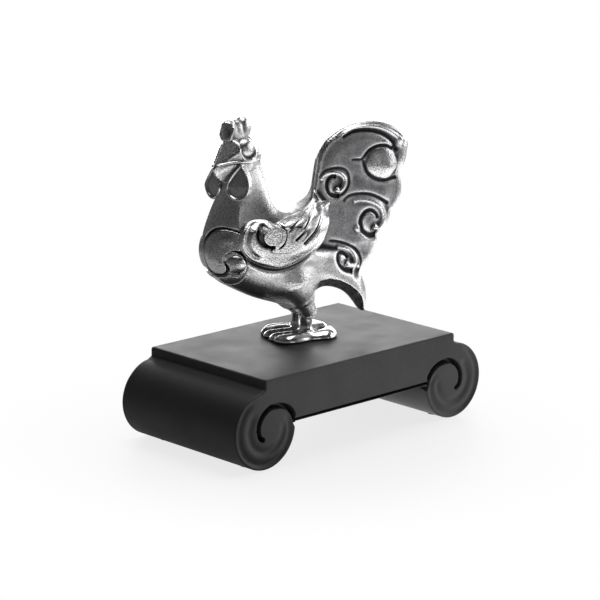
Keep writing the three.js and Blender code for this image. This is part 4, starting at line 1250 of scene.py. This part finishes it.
def build_head():
    clay, x, y, z = head_block((-15.5, -9.5, 55.5), (9.5, 9.5, 76.5))
    side = np.abs(y)
    skull = ball(x, side, z, (0, 0, 66.6), (7.2, 6.7, 7.6))
    snout = ball(x, side, z, (-4.2, 0, 65.4), (10.9, 7.0, 8.2))
    field = blend_union(skull, snout, 1.5)
    forehead = plane(x, side, z, (-0.718, 0.486, 0.5), (-12.2, 0, 65.8))
    cheek = plane(x, side, z, (-0.51, 0.84, -0.17), (-4.6, 6.1, 65.0))
    jaw = plane(x, side, z, (-0.36, 0.81, -0.46), (-4.6, 5.9, 64.7))
    tip = plane(x, side, z, (-0.92, 0, -0.4), (-13.9, 0, 63.8))
    crown = plane(x, side, z, (-0.05, 0.5, 0.86), (-2, 3.6, 72.3))
    for facet in (forehead, cheek, jaw, tip, crown):
        field = blend_cut(field, facet, 0.3)
    eye = ball(x, side, z, (-1.6, 4.4, 69.2), (3.9, 2.8, 3.6))
    ditch = ball(x, side, z, (-1.9, 6.95, 69.1), (4.4, 1.4, 4.0))
    field = blend_union(blend_cut(field, -ditch, 0.3), eye, 0.2)
    brow = chain(x, side, z, [(-7.4, 4.2, 67.9), (-5, 5.1, 69.3), (-2.6, 5.4, 70.9), (-0.2, 5.2, 72.4)], [0.3, 0.5, 0.55, 0.4])
    field = blend_union(field, brow, 0.3)
    nose = chain(x, side, z, [(-12.6, 0, 65.6), (-10, 0, 69.3), (-8.4, 0, 71.4)], [0.35, 0.4, 0.3])
    field = blend_union(field, nose, 0.3)
    gape = chain(x, side, z, [(-12.6, 1.3, 64.4), (-8.8, 3.9, 65.1), (-4.6, 6, 65.0), (-1, 6.6, 64.6), (2.4, 6.1, 64.4), (5, 4.8, 65)],
                 [0.3, 0.4, 0.5, 0.5, 0.45, 0.3])
    field = blend_union(field, gape, 0.5)
    mouth = chain(x, side, z, [(-13.6, 0.6, 63.7), (-9.4, 3.5, 64.1), (-6, 4.9, 64.1)], [0.16, 0.2, 0.12])
    field = np.maximum(field, -mouth)
    neck_rings = [turned(ring - np.array([HEAD_X, 0, 0]), -figure_sizes().head_turn) for ring in torso_mesh()[:14]]
    neck = clay.distances(*close_loft(neck_rings), reach=3)
    seam = seam_height(HEAD_X) + 0.22 * clay.x - clay.z
    field = blend_union(field, np.maximum(neck, seam), 0.8)
    piece = sculpted("head_casting", clay, field, head_to_world, reach=0.6)
    put(piece, "head", pewter_satin())


def build_comb():
    clay, x, y, z = head_block((-12, -6, 69.5), (7.5, 6, 82.5))
    side = np.abs(y)
    front = ball(x, side, z, (-4.6, 0, 75.4), (4.1, 3.0, 4.1))
    middle = ball(x, side, z, (-1.0, 0, 75.8), (3.2, 2.7, 3.4))
    rear = ball(x, side, z, (2.2, 0, 76.0), (3.1, 2.9, 3.9))
    root = ball(x, side, z, (-1.4, 0, 73.2), (5.6, 2.9, 3.2))
    field = blend_union(blend_union(blend_union(front, middle, 0.5), rear, 0.4), root, 1.0)
    face = plane(x, side, z, (-0.8, 0.58, 0.1), (-6.3, 2.0, 75))
    field = blend_cut(field, face, 0.3)
    ridge = chain(x, side, z, [(-3.6, 2.0, 78.6), (-4.9, 2.8, 76.6), (-5.9, 2.7, 74.4), (-6.1, 2.1, 72.6)], [0.3, 0.5, 0.5, 0.3])
    field = blend_union(field, ridge, 0.3)
    field = blend_cut(field, clay.z + 0 * x - 80.2, 0.5)
    piece = sculpted("comb_casting", clay, field, head_to_world, reach=0.6, dull=lambda points: np.full(len(points), 0.8))
    put(piece, "comb", pewter_satin())


WATTLE_PLACE = (-7.6, 5.9, 56.6)
WATTLE_SPLAY = math.radians(76)
WATTLE_RADIUS = 4.9
WATTLE_DROP = 7.2
WATTLE_LEAN = 2.6


def build_wattles():
    for name, sign in (("left", -1), ("right", 1)):
        low_y, high_y = sorted((sign * 0.5, sign * 12))
        clay, x, y, z = head_block((-13.5, low_y, 50), (-2, high_y, 67))
        px, py, pz = x - WATTLE_PLACE[0], sign * y - WATTLE_PLACE[1], z - WATTLE_PLACE[2]
        c, s = math.cos(WATTLE_SPLAY), math.sin(WATTLE_SPLAY)
        t = np.clip(pz / WATTLE_DROP, 0, 1)
        px = px - WATTLE_LEAN * t
        out = -px * s + py * c
        across = px * c + py * s
        drop = np.sqrt(across ** 2 + (pz - WATTLE_DROP * t) ** 2) - (WATTLE_RADIUS * (1 - t ** 1.5) + 0.5 * t)
        dish = 0.7 * (1 - ease(drop, -1.2, -0.5))
        thick = np.abs(out) - 1.3
        front = out - 1.3 + dish
        field = blend_cut(drop, np.maximum(thick, front), 0.45)
        piece = sculpted(f"{name}_wattle_casting", clay, field, head_to_world, reach=0.6)
        put(piece, f"{name}_wattle", pewter_satin())


SHANK_X = 0.8
# The left foot seen from above: the long polished outer side and the toe beside it
SOLE_OUTLINE = [
    [-12.8, -5.4], [-11.8, -8], [-9.8, -9.9], [-6.8, -10.5], [-3.4, -10.1], [0.3, -9.3], [3.7, -9.6], [7.4, -10.3], [10.4, -8.6],
    [12.4, -5.4], [12.6, -2.6], [10.6, -1], [8, -1.9], [5.4, -3.6], [2.6, -4.6], [-1, -4.6], [-4.2, -4.9], [-8, -4.9], [-11, -4.7],
]
TOE_OUTLINE = [
    [-13, -2.6], [-12.4, -0.9], [-9.6, -0.4], [-6, -0.4], [-2, -0.4], [2, -0.6], [3.4, -2.4], [0, -4.4], [-5.6, -4.3], [-10, -4.4],
    [-12.4, -4],
]


def pressed(clay, outline, top):
    """A flat form with a domed top and round edges over an outline in the X-Y plane."""
    x, y = np.meshgrid(clay.axes[0], clay.axes[1], indexing="ij")
    edge = outline_distance(x, y, closed_curve(outline))[:, :, None].astype(np.float32)
    rise = 1 - np.clip(-edge / 3.3, 0, 1)
    return blend_cut(edge, 0.8 * (clay.z - top * (1 - 0.72 * rise ** 2)), 0.5)


def build_legs():
    sizes = figure_sizes()
    half_spacing = sizes.leg_spacing / MM / 2
    radius = sizes.shank_radius / MM
    clay = Clay((-16, -13, -1), (16, 0, 9.5), sizes.fine_step / MM)
    x, y, z = clay.x, clay.y, clay.z
    waist = 1 - 0.12 * np.exp(-((x - 1.5) / 3.5) ** 2)
    field = blend_union(pressed(clay, SOLE_OUTLINE, 3.1 * waist), pressed(clay, TOE_OUTLINE, 2.8), 0.7)
    shank = np.hypot(x - SHANK_X, y + half_spacing) - (radius + 0.5 * ease(-z, -4.6, -2.2)) + 0 * z
    field = blend_union(field, np.maximum(shank, z - 8.2), 1.4)
    field = np.maximum(field, -z)
    field = np.maximum(field, y + 0.12)
    material = pewter_polished()
    for name, mirror in (("left", False), ("right", True)):
        piece = sculpted(f"{name}_leg_casting", clay, field, feet_to_world, mirror, reach=0.5)
        put(piece, f"{name}_leg", material)


# Stage

CAMERA_TARGET = (-0.00105, 0.00099, 0.04664)


def direction(azimuth, elevation):
    return np.array([math.sin(azimuth) * math.cos(elevation), -math.cos(azimuth) * math.cos(elevation), math.sin(elevation)])


def aim(item, position, target):
    item.location = Vector(position)
    item.rotation_euler = (Vector(target) - Vector(position)).to_track_quat("-Z", "Y").to_euler()


def softbox(name, azimuth, elevation, distance, size, level, target=(0, 0, 0.05)):
    """A rectangular lamp whose face has the given radiance."""
    lamp = bpy.data.lights.new(name, "AREA")
    lamp.shape = "RECTANGLE"
    lamp.size, lamp.size_y = size
    lamp.energy = level * math.pi * size[0] * size[1]
    item = bpy.data.objects.new(name, lamp)
    item.visible_camera = False
    bpy.context.scene.collection.objects.link(item)
    place = np.array(target) + direction(math.radians(azimuth), math.radians(elevation)) * distance
    aim(item, place, target)
    return item


def room_light(nodes, links, vector, studio, light):
    """Brightness by direction: bright towards the lamp's side and the backdrop, dim towards the camera's left."""
    dot = nodes.new("ShaderNodeVectorMath")
    dot.operation = "DOT_PRODUCT"
    dot.inputs[1].default_value = tuple(direction(studio.bright_side, 0.0))
    links.new(vector, dot.inputs[0])
    spread = nodes.new("ShaderNodeMapRange")
    spread.interpolation_type = "SMOOTHSTEP"
    spread.inputs["From Min"].default_value = 0.15
    spread.inputs["From Max"].default_value = 0.75
    spread.inputs["To Min"].default_value = studio.room_level
    spread.inputs["To Max"].default_value = light
    links.new(dot.outputs["Value"], spread.inputs["Value"])
    return spread.outputs["Result"]


def build_world(studio):
    """White backdrop, dim room behind the camera and overhead."""
    world = bpy.data.worlds.new("studio_room")
    world.use_nodes = True
    bpy.context.scene.world = world
    nodes, links = world.node_tree.nodes, world.node_tree.links
    background = nodes["Background"]
    place = nodes.new("ShaderNodeTexCoord")
    sides = room_light(nodes, links, place.outputs["Generated"], studio, 0.9)
    split = nodes.new("ShaderNodeSeparateXYZ")
    links.new(place.outputs["Generated"], split.inputs[0])
    above = nodes.new("ShaderNodeMapRange")
    above.interpolation_type = "SMOOTHSTEP"
    above.inputs["From Min"].default_value = 0.22
    above.inputs["From Max"].default_value = 0.65
    above.inputs["To Min"].default_value = 1.0
    above.inputs["To Max"].default_value = 0.3
    links.new(split.outputs["Z"], above.inputs["Value"])
    room = math_node(nodes, links, "MULTIPLY", sides, above.outputs["Result"])
    rays = nodes.new("ShaderNodeLightPath")
    level = nodes.new("ShaderNodeMix")
    level.data_type = "FLOAT"
    links.new(rays.outputs["Is Camera Ray"], level.inputs[0])
    links.new(room, level.inputs[2])
    level.inputs[3].default_value = 1.0
    links.new(level.outputs[0], background.inputs["Strength"])
    background.inputs["Color"].default_value = (1, 1, 1, 1)


def build_floor(studio):
    mesh = bpy.data.meshes.new("studio_floor")
    reach = 4.0
    mesh.from_pydata([(-reach, -reach, 0), (reach, -reach, 0), (reach, reach, 0), (-reach, reach, 0)], [], [(0, 1, 2, 3)])
    floor = bpy.data.objects.new("studio_floor", mesh)
    bpy.context.scene.collection.objects.link(floor)
    material, nodes, links, shader = new_material("white_sweep")
    shader.inputs["Base Color"].default_value = (0.82, 0.82, 0.82, 1)
    shader.inputs["Roughness"].default_value = 0.55
    # Painted reflection: in the metal's reflections the floor glows instead of being lit. It is up to 1.65 bright on
    # the near side towards the right, dim on the far floor towards the camera's left, and darker behind the object. To
    # the camera it is an even white glow, mixed near the object with a lit floor that keeps the real shadow.
    place = nodes.new("ShaderNodeTexCoord")
    far = nodes.new("ShaderNodeVectorMath")
    far.operation = "LENGTH"
    links.new(place.outputs["Object"], far.inputs[0])
    fade = nodes.new("ShaderNodeMapRange")
    fade.interpolation_type = "SMOOTHSTEP"
    fade.inputs["From Min"].default_value = 0.045
    fade.inputs["From Max"].default_value = 0.13
    fade.inputs["To Min"].default_value = 0.78
    fade.inputs["To Max"].default_value = 1.0
    links.new(far.outputs["Value"], fade.inputs["Value"])
    outward = nodes.new("ShaderNodeVectorMath")
    outward.operation = "NORMALIZE"
    links.new(place.outputs["Object"], outward.inputs[0])
    table = nodes.new("ShaderNodeMapRange")
    table.interpolation_type = "SMOOTHSTEP"
    table.inputs["From Min"].default_value = 0.19
    table.inputs["From Max"].default_value = 0.31
    links.new(far.outputs["Value"], table.inputs["Value"])
    mirrored = nodes.new("ShaderNodeMix")
    mirrored.data_type = "FLOAT"
    links.new(table.outputs["Result"], mirrored.inputs[0])
    side = nodes.new("ShaderNodeVectorMath")
    side.operation = "DOT_PRODUCT"
    side.inputs[1].default_value = tuple(direction(math.radians(45), 0.0))
    links.new(outward.outputs["Vector"], side.inputs[0])
    near = nodes.new("ShaderNodeMapRange")
    near.interpolation_type = "SMOOTHSTEP"
    near.inputs["From Min"].default_value = -0.2
    near.inputs["From Max"].default_value = 0.45
    near.inputs["To Min"].default_value = 0.35
    near.inputs["To Max"].default_value = 1.65
    links.new(side.outputs["Value"], near.inputs["Value"])
    links.new(near.outputs["Result"], mirrored.inputs[2])
    # Painted shade: the glowing floor seen in reflections darkens behind the object.
    behind = nodes.new("ShaderNodeVectorMath")
    behind.operation = "DOT_PRODUCT"
    behind.inputs[1].default_value = tuple(direction(math.radians(137), 0.0))
    links.new(outward.outputs["Vector"], behind.inputs[0])
    shade = nodes.new("ShaderNodeMapRange")
    shade.interpolation_type = "SMOOTHSTEP"
    shade.inputs["From Min"].default_value = 0.82
    shade.inputs["From Max"].default_value = 0.96
    shade.inputs["To Min"].default_value = 1.0
    shade.inputs["To Max"].default_value = 0.12
    links.new(behind.outputs["Value"], shade.inputs["Value"])
    wide = room_light(nodes, links, outward.outputs["Vector"], studio, 0.65)
    links.new(math_node(nodes, links, "MULTIPLY", wide, shade.outputs["Result"]), mirrored.inputs[3])
    # Painted glow: strength 1 for the camera, the painted reflection levels above for glossy and transmission rays.
    glow = nodes.new("ShaderNodeEmission")
    rays = nodes.new("ShaderNodeLightPath")
    level = nodes.new("ShaderNodeMix")
    level.data_type = "FLOAT"
    links.new(rays.outputs["Is Camera Ray"], level.inputs[0])
    links.new(mirrored.outputs[0], level.inputs[2])
    level.inputs[3].default_value = 1.0
    links.new(level.outputs[0], glow.inputs["Strength"])
    seen = math_node(nodes, links, "MAXIMUM", rays.outputs["Is Camera Ray"], rays.outputs["Is Glossy Ray"])
    seen = math_node(nodes, links, "MAXIMUM", seen, rays.outputs["Is Transmission Ray"])
    share = math_node(nodes, links, "MULTIPLY", seen, fade.outputs["Result"])
    mix = nodes.new("ShaderNodeMixShader")
    links.new(share, mix.inputs[0])
    links.new(shader.outputs[0], mix.inputs[1])
    links.new(glow.outputs[0], mix.inputs[2])
    links.new(mix.outputs[0], nodes["Material Output"].inputs["Surface"])
    mesh.materials.append(material)


def build_stage():
    studio = bpy.context.scene.rooster_studio
    camera = bpy.data.cameras.new("studio_camera")
    camera.lens = studio.lens
    camera.sensor_width = 36
    camera.clip_start, camera.clip_end = 0.05, 20
    item = bpy.data.objects.new("studio_camera", camera)
    bpy.context.scene.collection.objects.link(item)
    place = np.array(CAMERA_TARGET) + direction(studio.azimuth, studio.elevation) * studio.distance
    aim(item, place, CAMERA_TARGET)
    bpy.context.scene.camera = item
    bpy.context.scene.view_settings.view_transform = "Standard"
    build_floor(studio)
    build_world(studio)
    softbox("side_lamp", 60, 18, 0.62, (0.5, 0.42), studio.key_level)
    softbox("front_lamp", -5, 9, 0.8, (0.24, 0.12), studio.front_level)
    softbox("top_lamp", 125, 84, 0.7, (0.6, 0.55), studio.top_level)
    softbox("back_lamp", 137, 13, 0.55, (0.9, 0.2), studio.back_level)


# Operators, one for each piece or group of like pieces and one for the stage

def operator(idname, label, text, work):
    """An operator class that runs one building step."""
    def execute(self, context):
        work()
        return {"FINISHED"}

    return type(f"ROOSTER_OT_{idname}", (bpy.types.Operator,), {
        "bl_idname": f"rooster.{idname}", "bl_label": label, "__doc__": text, "bl_options": {"REGISTER", "UNDO"},
        "execute": execute})


STEPS = [
    operator("build_base", "Scroll base", "Build the black base with its two scrolls", build_base),
    operator("build_pads", "Felt pads", "Build the four pads under the scrolls", build_pads),
    operator("build_fixings", "Screws and washers", "Build the two screws and washers under the slab", build_fixings),
    operator("build_shells", "Body shells", "Sculpt the two halves of body, neck and tail", build_shells),
    operator("build_wings", "Wings", "Sculpt the two wings", build_wings),
    operator("build_breast_scrolls", "Breast scrolls", "Sculpt the two breast scrolls", build_breast_scrolls),
    operator("build_head", "Head", "Sculpt the head with eyes and beak", build_head),
    operator("build_comb", "Comb", "Sculpt the comb", build_comb),
    operator("build_wattles", "Wattles", "Sculpt the two wattles", build_wattles),
    operator("build_legs", "Legs", "Sculpt the two polished legs and feet", build_legs),
    operator("build_stage", "Studio", "Set up floor, backdrop, lamps and camera", build_stage),
]


class ROOSTER_PT_panel(bpy.types.Panel):
    """Sizes, finishes and building steps of the rooster"""
    bl_label = "Pewter Rooster"
    bl_idname = "ROOSTER_PT_panel"
    bl_space_type = "VIEW_3D"
    bl_region_type = "UI"
    bl_category = "Rooster"

    def draw(self, context):
        layout = self.layout
        for key, _ in GROUPS:
            group = getattr(context.scene, key)
            box = layout.box()
            for name in group.bl_rna.properties.keys():
                if name not in ("rna_type", "name"):
                    box.prop(group, name)
        for step in STEPS:
            layout.operator(step.bl_idname)


GROUPS = [
    ("rooster_base", RoosterBaseSizes),
    ("rooster_figure", RoosterFigureSizes),
    ("rooster_finishes", RoosterFinishes),
    ("rooster_studio", RoosterStudio),
]


def register():
    for key, group in GROUPS:
        bpy.utils.register_class(group)
        setattr(bpy.types.Scene, key, PointerProperty(type=group))
    for item in (*STEPS, ROOSTER_PT_panel):
        bpy.utils.register_class(item)


def unregister():
    for item in reversed((*STEPS, ROOSTER_PT_panel)):
        bpy.utils.unregister_class(item)
    for key, group in reversed(GROUPS):
        delattr(bpy.types.Scene, key)
        bpy.utils.unregister_class(group)


def main():
    register()
    for step in STEPS:
        group, name = step.bl_idname.split(".")
        getattr(getattr(bpy.ops, group), name)()


if __name__ == "__main__":
    main()
